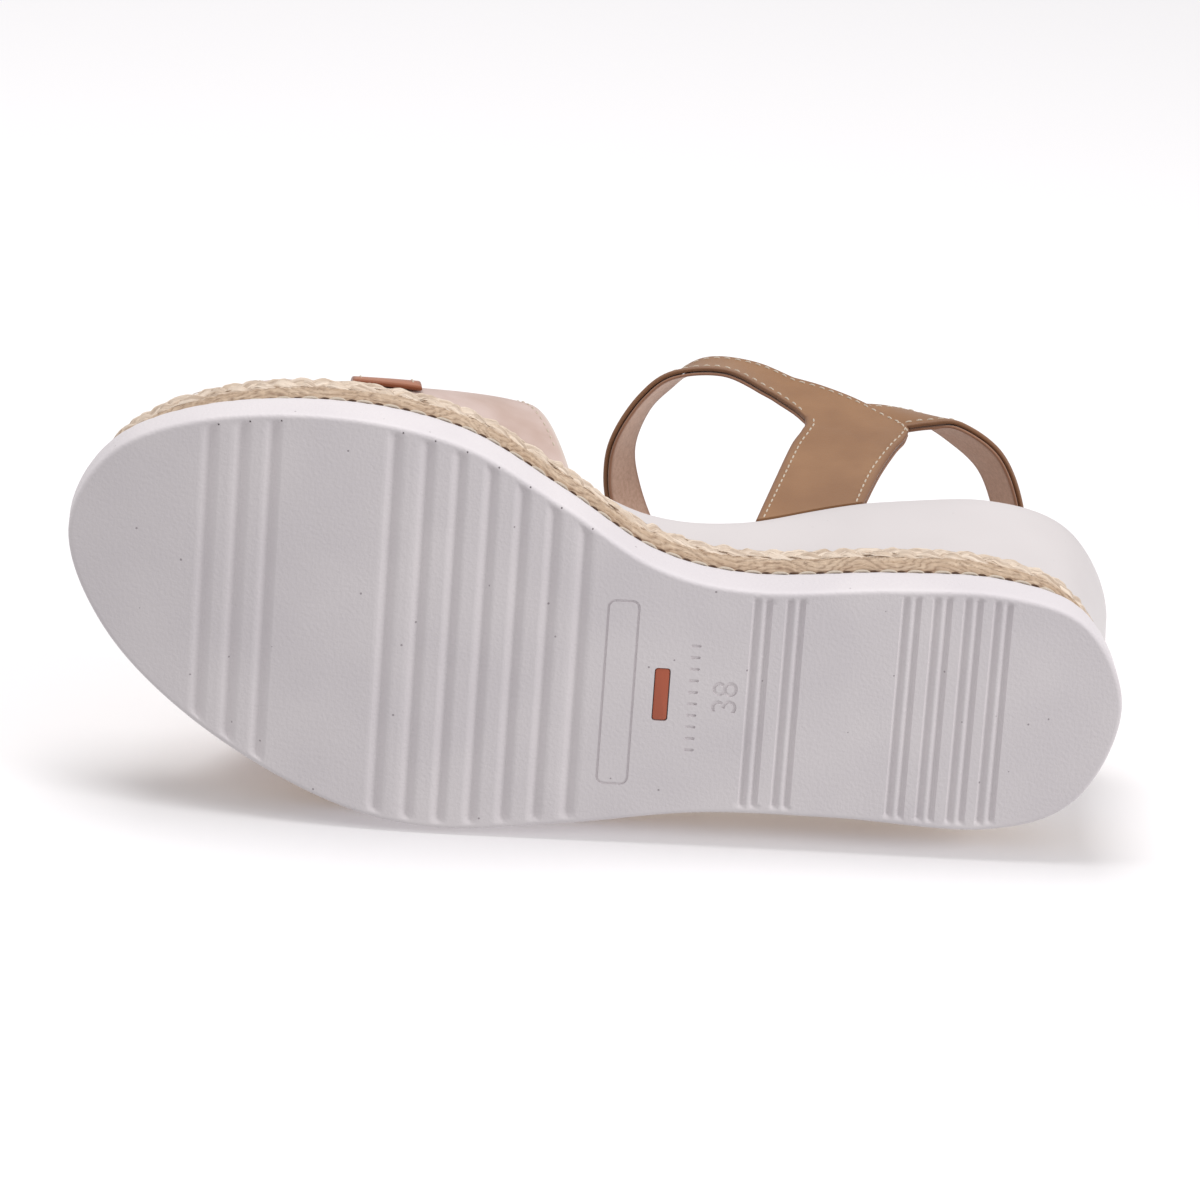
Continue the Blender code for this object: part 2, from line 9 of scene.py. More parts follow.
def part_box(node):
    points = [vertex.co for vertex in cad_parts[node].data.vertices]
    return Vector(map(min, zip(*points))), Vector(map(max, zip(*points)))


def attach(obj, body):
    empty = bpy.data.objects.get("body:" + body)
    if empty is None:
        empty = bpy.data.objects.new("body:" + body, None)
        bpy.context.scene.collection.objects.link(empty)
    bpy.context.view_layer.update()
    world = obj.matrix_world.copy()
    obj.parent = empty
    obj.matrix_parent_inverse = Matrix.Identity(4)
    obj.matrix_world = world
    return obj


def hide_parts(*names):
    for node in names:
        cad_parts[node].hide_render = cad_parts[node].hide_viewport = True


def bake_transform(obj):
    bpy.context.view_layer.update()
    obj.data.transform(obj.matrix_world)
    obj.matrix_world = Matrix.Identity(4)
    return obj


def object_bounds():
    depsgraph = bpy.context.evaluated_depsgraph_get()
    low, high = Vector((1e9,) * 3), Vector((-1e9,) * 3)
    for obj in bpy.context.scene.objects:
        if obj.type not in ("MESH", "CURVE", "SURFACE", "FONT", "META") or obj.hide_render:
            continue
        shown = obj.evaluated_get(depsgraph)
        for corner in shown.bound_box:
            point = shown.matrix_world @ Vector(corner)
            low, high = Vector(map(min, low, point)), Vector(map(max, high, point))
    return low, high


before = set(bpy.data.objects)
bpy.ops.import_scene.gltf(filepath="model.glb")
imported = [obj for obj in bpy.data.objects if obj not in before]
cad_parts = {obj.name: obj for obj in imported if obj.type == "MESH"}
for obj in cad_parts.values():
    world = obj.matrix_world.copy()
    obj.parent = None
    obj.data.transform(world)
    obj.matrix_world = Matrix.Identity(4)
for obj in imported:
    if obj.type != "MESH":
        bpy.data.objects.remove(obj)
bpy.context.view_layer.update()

# %% [markdown]
# A wedge sandal is a stack of slabs under a few curved sheets of leather. The imported solids give
# the sizes and the moving bodies. This lesson gives each piece its real surface: grooves in the
# tread, plaited straw in the band, thread in the seams and grain in the leather. Lengths in the
# formulas are millimetres, and MM turns them into Blender's metres.

# %% The box of the solid model, which places the outline
MM = 0.001
SOLE_LOW, SOLE_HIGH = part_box("outsole")
print("outsole from", [round(v, 4) for v in SOLE_LOW], "to", [round(v, 4) for v in SOLE_HIGH])

# %% [markdown]
# The outline of the sole drives everything. It is a smooth closed curve through a few points, and
# the heights of the layers are smooth curves along the foot. They are the rules that the solids
# follow, so each new surface lies where its solid lies, give or take three small shifts.

# %% Outline and heights of the sole
OUTLINE = [(-129, -15), (-119.5, -36.8), (-96.5, -48.5), (-65, -52), (-35.5, -47), (-10, -33),
           (13.5, -18.6), (37.5, -13.8), (71, -16), (98.5, -16), (119, -9), (129, 12),
           (120, 36), (98.5, 45.2), (61, 44.2), (27.5, 44.6), (-5, 49.2), (-37.5, 52),
           (-65, 46), (-96.5, 29.5), (-119, 9)]
TOE_SPRING, SPRING_LENGTH, HALF_LENGTH = 14.0, 95.0, 129.0
GAP = 0.3


def through(points):
    """Smooth function of x: a cubic between each pair of points, with slopes from neighbours."""
    xs, values = np.array(points, float).T
    slopes = np.gradient(values, xs)

    def at(x):
        x = np.clip(np.asarray(x, float), xs[0], xs[-1])
        i = np.clip(np.searchsorted(xs, x) - 1, 0, len(xs) - 2)
        width = xs[i + 1] - xs[i]
        t = (x - xs[i]) / width
        return ((2 * t**3 - 3 * t**2 + 1) * values[i] + (t**3 - 2 * t**2 + t) * width * slopes[i]
                + (3 * t**2 - 2 * t**3) * values[i + 1] + (t**3 - t**2) * width * slopes[i + 1])
    return at


foxing_height = through([(-129, 11.0), (-90, 13.5), (-45, 15.0), (40, 12.5), (129, 11.0)])
braid_height = through([(-129, 12.0), (-90, 13.5), (-45, 14.0), (129, 13.5)])
footbed_z = through([(-129, 38.0), (-90, 31.5), (-45, 29.5), (-20, 32.0), (0, 37.0), (14, 41.0),
                     (25, 44.5), (35, 48.0), (53, 56.0), (66, 60.0), (90, 62.5), (129, 63.0)])
footbed_inset = through([(-129, 5.0), (-20, 4.5), (0, 2.0), (16, 0.6), (30, -0.3), (50, -0.8),
                         (80, -1.6), (105, -2.8), (129, -2.0)])
braid_inset = through([(-129, 1.6), (-90, 0.7), (-45, 0.6), (129, 1.0)])
# Where the seen surfaces leave the solids: the band goes inwards, the wall's edge and the plait up.
band_shift = through([(-129, 2.6), (-112, 1.7), (-95, 0.9), (-75, 0.2), (-50, -0.1), (0, -0.4),
                      (50, -0.7), (95, -0.6), (108, 0.0), (118, 1.2), (129, 2.4)])
lip_lift = through([(-129, -2.0), (-90, -1.7), (-60, -1.1), (-20, -0.3), (20, 0.8), (100, 1.0),
                    (129, 0.0)])
plait_lift = through([(-129, -0.6), (-90, -0.3), (-45, 0.4), (0, 1.6), (40, 2.8), (100, 2.6),
                      (129, 1.0)])


def tread_z(x):
    """Tread height: level, then a parabola up to the toe."""
    beyond = np.maximum(0.0, SPRING_LENGTH - HALF_LENGTH - np.asarray(x, float))
    return TOE_SPRING * (beyond / SPRING_LENGTH) ** 2


def foxing_z(x):
    """Top of the outsole's side wall."""
    return tread_z(x) + foxing_height(x)


def lip_z(x):
    """Upper edge of the side wall as it is seen: lower at the toe and higher at the heel."""
    return foxing_z(x) + lip_lift(x)


def braid_z(x):
    """Top of the straw band."""
    return foxing_z(x) + braid_height(x)


def deck_z(x):
    """Surface that the insole board lies on."""
    return np.maximum(footbed_z(x), braid_z(x) + GAP)


def raised(height, amount):
    """The height function moved up by a number or by another function."""
    return lambda x: height(x) + (amount(x) if callable(amount) else amount)


def spline(points, count, closed=False):
    """Catmull-Rom curve through the points, walked in `count` equal steps."""
    p = np.array(points, float)
    if closed:
        p = np.vstack([p[-1], p, p[0], p[1]])
    else:
        p = np.vstack([2 * p[0] - p[1], p, 2 * p[-1] - p[-2]])
    t = np.linspace(0, 1, 24, endpoint=False)[:, None]
    dense = [0.5 * (2 * b + (c - a) * t + (2 * a - 5 * b + 4 * c - d) * t**2
                    + (3 * b - 3 * c + d - a) * t**3)
             for a, b, c, d in zip(p, p[1:], p[2:], p[3:])]
    return even_steps(np.vstack(dense + [p[-2:-1]]), count)


def run_length(line):
    """Distance along a polyline at each of its points."""
    return np.concatenate([[0], np.cumsum(np.linalg.norm(np.diff(line, axis=0), axis=1))])


def even_steps(line, count):
    """The same polyline with `count` points at equal distances."""
    run = run_length(line)
    where = np.linspace(0, run[-1], count)
    return np.stack([np.interp(where, run, line[:, k]) for k in range(line.shape[1])], axis=1)


RIM = spline(OUTLINE, 1921, closed=True)[:-1]
RIM_OUT = np.roll(RIM, -1, axis=0) - np.roll(RIM, 1, axis=0)
RIM_OUT = np.stack([RIM_OUT[:, 1], -RIM_OUT[:, 0]], axis=1)
RIM_OUT /= np.linalg.norm(RIM_OUT, axis=1)[:, None]
MIDDLE = (np.array(SOLE_LOW) + np.array(SOLE_HIGH)) / 2 / MM
SHIFT = np.append(MIDDLE[:2] - (RIM.min(axis=0) + RIM.max(axis=0)) / 2, 0.0)


def moved_rim(inset):
    """The outline moved inwards along its normals, starting at the tip of the toe."""
    depth = inset(RIM[:, 0]) if callable(inset) else np.full(len(RIM), float(inset))
    moved = RIM - RIM_OUT * depth[:, None]
    return np.roll(moved, -int(np.argmin(moved[:, 0])), axis=0)


def rim_sides(inset):
    """Medial and lateral halves of the moved outline, both from toe to heel."""
    moved = moved_rim(inset)
    heel = int(np.argmax(moved[:, 0]))
    return moved[:heel + 1], np.vstack([moved[heel:], moved[:1]])[::-1]


def width_at(inset, x):
    """Medial and lateral y of the moved outline at x."""
    medial, lateral = rim_sides(inset)
    return np.interp(x, *medial.T), np.interp(x, *lateral.T)


print("outline runs", round(run_length(RIM)[-1], 1), "mm round the sole; the solids lie",
      np.round(SHIFT, 2), "mm from it")

# %% [markdown]
# Every new piece goes through one function. It takes arrays of points in millimetres, writes the
# mesh, welds doubled points, shades it smooth, tells the frame which body carries the piece, and
# hides the solids it stands for.

# %% Helpers that make a mesh piece
def grid_faces(columns, rows, wrap_columns=False, wrap_rows=False, first=0):
    """Quads of a (columns, rows) grid of points as an (n, 4) array."""
    i, j = np.meshgrid(np.arange(columns if wrap_columns else columns - 1),
                       np.arange(rows if wrap_rows else rows - 1), indexing="ij")
    i, j = i.ravel(), j.ravel()
    a, b = (i + 1) % columns, (j + 1) % rows
    return first + np.stack([i * rows + j, a * rows + j, a * rows + b, i * rows + b], axis=1)


def add_piece(name, points, faces, material, body="shoe", stands_for=(), uv=None, marks=None,
              sharp=40.0, weld=1e-6):
    """Make a mesh piece; `uv` and `marks` are values per point, kept as point attributes."""
    mesh = bpy.data.meshes.new(name)
    mesh.from_pydata(((np.asarray(points) + SHIFT) * MM).tolist(), [], [list(f) for f in faces])
    for label, values in (marks or {}).items():
        mesh.attributes.new(label, 'FLOAT', 'POINT').data.foreach_set(
            "value", np.asarray(values, np.float32).ravel())
    if uv is not None:
        layer = mesh.attributes.new("flow", 'FLOAT_VECTOR', 'POINT')
        flow = np.zeros((len(uv), 3), np.float32)
        flow[:, :2] = uv
        layer.data.foreach_set("vector", flow.ravel())
    bm = bmesh.new()
    bm.from_mesh(mesh)
    bmesh.ops.remove_doubles(bm, verts=bm.verts, dist=weld)
    bmesh.ops.dissolve_degenerate(bm, dist=weld, edges=bm.edges)
    bmesh.ops.recalc_face_normals(bm, faces=bm.faces)
    bm.to_mesh(mesh)
    bm.free()
    mesh.shade_smooth()
    mesh.set_sharp_from_angle(angle=math.radians(sharp))
    mesh.materials.append(material)
    piece = bpy.data.objects.new(name, mesh)
    bpy.context.scene.collection.objects.link(piece)
    if stands_for:
        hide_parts(*stands_for)
    if body:
        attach(piece, body)
    return piece


def joined(parts):
    """Join (points, faces) pairs into one pair."""
    points, faces, first = [], [], 0
    for p, f in parts:
        points.append(p)
        faces += [list(np.asarray(q) + first) for q in f]
        first += len(p)
    return np.vstack(points), faces


def tube_faces(number, rings, sides):
    """Faces of separate tubes in a row, each closed at both ends."""
    faces, size = [], rings * sides
    for first in range(0, number * size, size):
        faces += grid_faces(rings, sides, wrap_rows=True, first=first).tolist()
        faces += [list(range(first, first + sides))[::-1],
                  list(range(first + size - sides, first + size))]
    return faces


# %% [markdown]
# Materials come next, because every piece needs one. Leather, moulded compound and straw all need
# fine relief and a tone that drifts over the surface, so both are node groups. The groups put out
# only values, and each material mixes its own colours from them.

# %% Node helpers and the shared groups
def srgb(r, g, b):
    """A colour picked on a screen, 0 to 255, as linear light."""
    c = np.array([r, g, b]) / 255
    return (*np.where(c <= 0.04045, c / 12.92, ((c + 0.055) / 1.055) ** 2.4), 1.0)


def node(tree, kind, **values):
    """Add a node, set its properties and plain inputs."""
    made = tree.nodes.new(kind)
    for key, value in values.items():
        if hasattr(made, key) and key not in made.inputs:
            setattr(made, key, value)
        else:
            made.inputs[key].default_value = value
    return made


def new_group(name, inputs, outputs):
    """An empty shader group with float or vector sockets."""
    group = bpy.data.node_groups.new(name, 'ShaderNodeTree')
    for label, kind in inputs:
        group.interface.new_socket(label, in_out='INPUT', socket_type=kind)
    for label in outputs:
        group.interface.new_socket(label, in_out='OUTPUT', socket_type='NodeSocketFloat')
    return group, group.nodes.new('NodeGroupInput'), group.nodes.new('NodeGroupOutput')


def math_node(tree, operation, a, b=None, c=None):
    """A Math node whose inputs are sockets or numbers; returns its output."""
    made = tree.nodes.new('ShaderNodeMath')
    made.operation = operation
    for slot_index, value in enumerate((a, b, c)):
        if value is None:
            continue
        if isinstance(value, (int, float)):
            made.inputs[slot_index].default_value = value
        else:
            tree.links.new(value, made.inputs[slot_index])
    return made.outputs[0]


def make_grain_group():
    """Leather grain: rounded cells with creases between them, fine pores, and slow drifts of tone."""
    tree, given, out = new_group("leather_grain", [("Vector", 'NodeSocketVector'),
                                                   ("Cell Scale", 'NodeSocketFloat')],
                                 ["Height", "Tone", "Pores"])
    cells = node(tree, 'ShaderNodeTexVoronoi', feature='SMOOTH_F1', Smoothness=0.6)
    pores = node(tree, 'ShaderNodeTexNoise', Scale=4.5, Detail=5.0, Roughness=0.65)
    drift = node(tree, 'ShaderNodeTexNoise', Scale=0.055, Detail=3.0, Roughness=0.55)
    for target in (cells, pores, drift):
        tree.links.new(given.outputs["Vector"], target.inputs["Vector"])
    tree.links.new(given.outputs["Cell Scale"], cells.inputs["Scale"])
    height = math_node(tree, 'MULTIPLY_ADD', cells.outputs["Distance"], -0.7, pores.outputs["Fac"])
    tree.links.new(height, out.inputs["Height"])
    tree.links.new(drift.outputs["Fac"], out.inputs["Tone"])
    tree.links.new(pores.outputs["Fac"], out.inputs["Pores"])
    return tree


def make_pebble_group():
    """Moulded texture: small soft bumps, rare pits with a mask for painted shade, and faint clouds of
    tone.
    """
    tree, given, out = new_group("moulded_pebble", [("Vector", 'NodeSocketVector')],
                                 ["Height", "Tone", "Pit Shade"])
    bumps = node(tree, 'ShaderNodeTexNoise', Scale=1.1, Detail=3.0, Roughness=0.5)
    clouds = node(tree, 'ShaderNodeTexNoise', Scale=0.03, Detail=2.0, Roughness=0.5)
    spots = node(tree, 'ShaderNodeTexVoronoi', Scale=0.16)
    for target in (bumps, clouds, spots):
        tree.links.new(given.outputs["Vector"], target.inputs["Vector"])
    pits = math_node(tree, 'LESS_THAN', spots.outputs["Distance"], 0.045)
    height = math_node(tree, 'MULTIPLY_ADD', pits, -0.8, bumps.outputs["Fac"])
    tree.links.new(height, out.inputs["Height"])
    tree.links.new(clouds.outputs["Fac"], out.inputs["Tone"])
    tree.links.new(pits, out.inputs["Pit Shade"])
    return tree


def make_fibre_group():
    """Straw fibre: noise drawn out along the first coordinate, at two scales, and a mask of painted
    shade in its low parts.
    """
    tree, given, out = new_group("straw_fibre", [("Vector", 'NodeSocketVector')],
                                 ["Height", "Tone", "Gap Shade"])
    mapping = node(tree, 'ShaderNodeMapping')
    mapping.inputs["Scale"].default_value = (0.22, 4.2, 1.0)
    coarse = node(tree, 'ShaderNodeTexNoise', Scale=1.0, Detail=4.0, Roughness=0.6)
    slow = node(tree, 'ShaderNodeMapping')
    slow.inputs["Scale"].default_value = (0.07, 0.5, 1.0)
    tone = node(tree, 'ShaderNodeTexNoise', Scale=1.0, Detail=3.0, Roughness=0.5)
    tree.links.new(given.outputs["Vector"], mapping.inputs["Vector"])
    tree.links.new(given.outputs["Vector"], slow.inputs["Vector"])
    tree.links.new(mapping.outputs[0], coarse.inputs["Vector"])
    tree.links.new(slow.outputs[0], tone.inputs["Vector"])
    # Painted shade: this mask is strongest where the fibre's height is lowest, in the gaps between
    # fibres.
    dark = node(tree, 'ShaderNodeMapRange')
    for label, value in (("From Min", 0.44), ("From Max", 0.33), ("To Min", 0.0), ("To Max", 1.0)):
        dark.inputs[label].default_value = value
    tree.links.new(coarse.outputs["Fac"], dark.inputs["Value"])
    tree.links.new(coarse.outputs["Fac"], out.inputs["Height"])
    tree.links.new(tone.outputs["Fac"], out.inputs["Tone"])
    tree.links.new(dark.outputs["Result"], out.inputs["Gap Shade"])
    return tree


GRAIN, PEBBLE, FIBRE = make_grain_group(), make_pebble_group(), make_fibre_group()
print("node groups:", [g.name for g in (GRAIN, PEBBLE, FIBRE)])


# %% Finishes built on the groups
def new_material(name, roughness, metallic=0.0):
    """A material with its Principled shader, ready for links."""
    material = bpy.data.materials.new(name)
    material.use_nodes = True
    shader = material.node_tree.nodes["Principled BSDF"]
    shader.inputs["Roughness"].default_value = roughness
    shader.inputs["Metallic"].default_value = metallic
    return material, material.node_tree, shader


def mix(tree, factor, a, b, blend='MIX'):
    """Mix two colours; factor, a and b are sockets or values."""
    made = node(tree, 'ShaderNodeMix', data_type='RGBA', blend_type=blend)
    for label, value in ((0, factor), (6, a), (7, b)):
        if isinstance(value, bpy.types.NodeSocket):
            tree.links.new(value, made.inputs[label])
        else:
            made.inputs[label].default_value = value
    return made.outputs[2]


def spread(tree, value, low, high):
    """Stretch the part of a value between low and high to 0..1."""
    made = node(tree, 'ShaderNodeMapRange')
    made.inputs["From Min"].default_value, made.inputs["From Max"].default_value = low, high
    tree.links.new(value, made.inputs["Value"])
    return made.outputs["Result"]


def in_millimetres(tree):
    """Object coordinates in millimetres."""
    where = node(tree, 'ShaderNodeTexCoord')
    scale = node(tree, 'ShaderNodeVectorMath', operation='SCALE')
    scale.inputs["Scale"].default_value = 1 / MM
    tree.links.new(where.outputs["Object"], scale.inputs[0])
    return scale.outputs[0]


def relief(tree, shader, height, strength, distance):
    """Drive the shader's normal with a Bump node; distance is in millimetres."""
    bump = node(tree, 'ShaderNodeBump', Strength=strength, Distance=distance * MM)
    tree.links.new(height, bump.inputs["Height"])
    tree.links.new(bump.outputs["Normal"], shader.inputs["Normal"])


def use_group(tree, group, vector, **values):
    """Place a shared group in a material."""
    made = node(tree, 'ShaderNodeGroup')
    made.node_tree = group
    tree.links.new(vector, made.inputs["Vector"])
    for label, value in values.items():
        made.inputs[label.replace("_", " ")].default_value = value
    return made


def leather(name, light, dark, edge, roughness=0.45, cell=1.5, depth=0.05, sheen=0.1):
    """Grained leather: two tones that drift, darker pores, and a darker folded edge."""
    material, tree, shader = new_material(name, roughness)
    grain = use_group(tree, GRAIN, in_millimetres(tree), Cell_Scale=cell)
    colour = mix(tree, spread(tree, grain.outputs["Tone"], 0.35, 0.65), light, dark)
    colour = mix(tree, spread(tree, grain.outputs["Pores"], 0.42, 0.28), colour, dark)
    rim = node(tree, 'ShaderNodeAttribute', attribute_name="edge")
    colour = mix(tree, rim.outputs["Fac"], colour, edge)
    tree.links.new(colour, shader.inputs["Base Color"])
    rough = math_node(tree, 'MULTIPLY_ADD', grain.outputs["Pores"], 0.25, roughness - 0.12)
    tree.links.new(rough, shader.inputs["Roughness"])
    shader.inputs["Sheen Weight"].default_value = sheen
    shader.inputs["Specular IOR Level"].default_value = 0.4
    relief(tree, shader, grain.outputs["Height"], 0.55, depth)
    return material


def napped(name, light, dark, edge):
    """Lining leather with a brushed nap: matt, mottled, with a soft sheen."""
    material, tree, shader = new_material(name, 0.9)
    vector = in_millimetres(tree)
    mottle = node(tree, 'ShaderNodeTexNoise', Scale=0.9, Detail=6.0, Roughness=0.7)
    hairs = node(tree, 'ShaderNodeTexNoise', Scale=5.0, Detail=3.0, Roughness=0.7)
    tree.links.new(vector, mottle.inputs["Vector"])
    tree.links.new(vector, hairs.inputs["Vector"])
    colour = mix(tree, spread(tree, mottle.outputs["Fac"], 0.35, 0.65), light, dark)
    rim = node(tree, 'ShaderNodeAttribute', attribute_name="edge")
    colour = mix(tree, rim.outputs["Fac"], colour, edge)
    tree.links.new(colour, shader.inputs["Base Color"])
    shader.inputs["Sheen Weight"].default_value = 0.35
    shader.inputs["Sheen Roughness"].default_value = 0.5
    relief(tree, shader, hairs.outputs["Fac"], 0.6, 0.12)
    return material


def moulded(name, light, dark, pit_shade, roughness=0.5, depth=0.05):
    """Moulded compound with a fine pebble, and painted shade in its small pits."""
    material, tree, shader = new_material(name, roughness)
    pebble = use_group(tree, PEBBLE, in_millimetres(tree))
    colour = mix(tree, spread(tree, pebble.outputs["Tone"], 0.35, 0.65), light, dark)
    # Painted shade: the small pits take the darker third colour.
    colour = mix(tree, pebble.outputs["Pit Shade"], colour, pit_shade)
    tree.links.new(colour, shader.inputs["Base Color"])
    shader.inputs["Specular IOR Level"].default_value = 0.35
    relief(tree, shader, pebble.outputs["Height"], 0.5, depth)
    return material


def straw(name, light, mid, deep):
    """Raffia: pale and tan fibres along the strand, painted shade where they part and in its creases,
    with a dry gloss.
    """
    material, tree, shader = new_material(name, 0.62)
    flow = node(tree, 'ShaderNodeAttribute', attribute_name="flow")
    fibre = use_group(tree, FIBRE, flow.outputs["Vector"])
    colour = mix(tree, spread(tree, fibre.outputs["Tone"], 0.36, 0.64), light, mid)
    # Painted shade: the deep colour fills the gaps between the fibres.
    colour = mix(tree, fibre.outputs["Gap Shade"], colour, deep)
    # This point attribute carries painted shade in the straw's creases, plus the real lighter tone of
    # the roll's whipping threads.
    painted_shade_and_thread = node(tree, 'ShaderNodeAttribute', attribute_name="painted_shade_and_thread")
    colour = mix(tree, painted_shade_and_thread.outputs["Fac"], colour, deep)
    tree.links.new(colour, shader.inputs["Base Color"])
    relief(tree, shader, fibre.outputs["Height"], 0.9, 0.25)
    return material


def thread(name, colour, shade):
    """Twisted thread: a fine wave round the strand, with painted shade between plies."""
    material, tree, shader = new_material(name, 0.55)
    flow = node(tree, 'ShaderNodeAttribute', attribute_name="flow")
    ply = node(tree, 'ShaderNodeTexWave', Scale=0.55, Distortion=0.4)
    tree.links.new(flow.outputs["Vector"], ply.inputs["Vector"])
    # Painted shade: the shade colour lies between the plies.
    tree.links.new(mix(tree, ply.outputs["Fac"], shade, colour), shader.inputs["Base Color"])
    relief(tree, shader, ply.outputs["Fac"], 0.5, 0.08)
    return material


def plain_grainy(name, light, dark, scale, roughness, depth, metallic=0.0):
    """A simple mottled finish for board, foam, tape and steel."""
    material, tree, shader = new_material(name, roughness, metallic)
    mottle = node(tree, 'ShaderNodeTexNoise', Scale=scale, Detail=5.0, Roughness=0.65)
    tree.links.new(in_millimetres(tree), mottle.inputs["Vector"])
    tree.links.new(mix(tree, spread(tree, mottle.outputs["Fac"], 0.35, 0.65), light, dark),
                   shader.inputs["Base Color"])
    relief(tree, shader, mottle.outputs["Fac"], 0.5, depth)
    return material


# The third colour of each moulded finish is painted shade in its small pits.
TREAD_WHITE = moulded("tread_white", srgb(225, 219, 221), srgb(218, 212, 215), srgb(168, 160, 164),
                      depth=0.3)
WEDGE_WHITE = moulded("wedge_white", srgb(212, 206, 206), srgb(208, 202, 202), srgb(204, 198, 198),
                      roughness=0.42, depth=0.015)
BROWN = leather("quarter_brown", srgb(149, 108, 72), srgb(136, 96, 62), srgb(129, 91, 64))
NUDE = leather("vamp_nude", srgb(203, 181, 173), srgb(186, 160, 148), srgb(212, 201, 191),
               cell=1.8, depth=0.035)
COGNAC = leather("strap_cognac", srgb(174, 100, 54), srgb(154, 86, 46), srgb(132, 72, 40),
                 roughness=0.4)
LINING = napped("lining_nap", srgb(206, 172, 152), srgb(184, 148, 126), srgb(150, 108, 84))
SOCK = leather("sock_leather", srgb(206, 178, 152), srgb(192, 160, 132), srgb(170, 136, 106),
               roughness=0.5, cell=1.2, depth=0.04)
# The third colour of each straw is painted shade for its gaps and creases, and also the straw's tone
# beside the roll's whipping threads.
STRAW_ROLL = straw("straw_roll", srgb(218, 195, 170), srgb(196, 169, 142), srgb(116, 84, 60))
STRAW_PLAIT = straw("straw_plait", srgb(236, 220, 203), srgb(216, 196, 175), srgb(132, 100, 74))
CREAM_THREAD = thread("cream_thread", srgb(228, 217, 202), srgb(190, 172, 150))
SOLE_THREAD = thread("sole_thread", srgb(226, 216, 202), srgb(190, 172, 150))
# Painted shade: a dark colour for the shade in the seam's needle holes.
HOLE_SHADE = plain_grainy("needle_hole_shade", srgb(92, 66, 46), srgb(62, 42, 30), 2.0, 0.9, 0.02)
FOAM = plain_grainy("deck_foam", srgb(226, 216, 200), srgb(214, 202, 184), 2.2, 0.95, 0.1)
BOARD = plain_grainy("board_fibre", srgb(178, 150, 120), srgb(158, 130, 100), 1.2, 0.9, 0.08)
TAPE = plain_grainy("fastener_tape", srgb(196, 172, 146), srgb(170, 146, 122), 3.0, 0.95, 0.3)
STEEL = plain_grainy("shank_steel", srgb(170, 170, 175), srgb(150, 150, 156), 0.6, 0.35, 0.02, 1.0)
INLAY = moulded("inlay_terracotta", srgb(181, 96, 70), srgb(172, 88, 64), srgb(160, 80, 58),
                roughness=0.35, depth=0.01)

# %% [markdown]
# The outsole is one moulding. Its tread is a height field over the outline: level ground, a rise at
# the toe, and shallow channels across the foot. Stations lie closer together at the channels, so
# their walls stay crisp with few faces. The side wall is a set of rings round that field, with a
# soft bevel below and small dips above, where the seam's needle went through.

# %% Tread grooves as a height field
TOE_GROOVES = [-95.5, -88.0, -80.5]
FOREFOOT_GROOVES = [-51.3 + 7.82 * k for k in range(7)]
HEEL_GROOVES = [39.5, 47.5, 75.5, 83.0, 90.5, 97.8]
STITCH_PITCH = 6.6
FOREFOOT_SHAPE = [(-2.2, 0.0), (-1.6, 0.35), (-0.6, 0.9), (-0.1, 1.15), (0.2, 1.15), (0.5, 1.0),
                  (1.4, 0.25), (1.9, 0.0)]
HEEL_SHAPE = [(-2.5, 0.0), (-2.2, 0.5), (-1.7, 0.95), (-1.2, 0.95), (-0.7, 0.5), (-0.4, 0.12),
              (0.0, 0.05), (0.4, 0.12), (0.8, 0.6), (1.3, 0.95), (1.8, 0.95), (2.2, 0.5), (2.5, 0.0)]
GROOVES = ((TOE_GROOVES + FOREFOOT_GROOVES, FOREFOOT_SHAPE), (HEEL_GROOVES, HEEL_SHAPE))
BEVEL_WIDTH = 1.15
WALL_PROFILE = [(BEVEL_WIDTH, 0.0), (0.85, 0.04), (0.5, 0.22), (0.22, 0.5), (0.05, 0.95),
                (0.0, 1.5), (0.0, 3.0)]
WALL_START = WALL_PROFILE[-1][1]


def groove_stations(low, high):
    """Fractions of the length where stations are needed: even ones and every groove's corners."""
    even = (1 - np.cos(np.pi * np.linspace(0, 1, 301))) / 2
    extra = [x + dx for centres, shape in GROOVES for x in centres for dx, _ in shape]
    extra = (np.array(extra) - low) / (high - low)
    near = np.abs(even[:, None] - extra[None]).min(axis=1) < 0.0009
    near[[0, -1]] = False
    return np.sort(np.concatenate([even[~near], extra]))


def groove_depth(x, distance_in):
    """Depth of the tread's relief at x; it fades out towards the edge of the sole."""
    depth = np.zeros_like(x)
    for centres, shape in GROOVES:
        dx, dz = np.array(shape).T
        for centre in centres:
            depth = np.maximum(depth, np.interp(x - centre, dx, dz, left=0.0, right=0.0))
    fade = np.clip((distance_in - 0.2) / 1.3, 0, 1)
    return depth * fade * fade * (3 - 2 * fade)


def sole_ring(inset, height, stations):
    """Closed ring: medial side toe to heel, then lateral side back, at the given fractions."""
    medial, lateral = rim_sides(inset)
    x = medial[0, 0] + (medial[-1, 0] - medial[0, 0]) * stations
    sides = [np.stack([x, np.interp(x, *side.T), height(x)], axis=1) for side in (medial, lateral)]
    return np.vstack([sides[0], sides[1][::-1]])


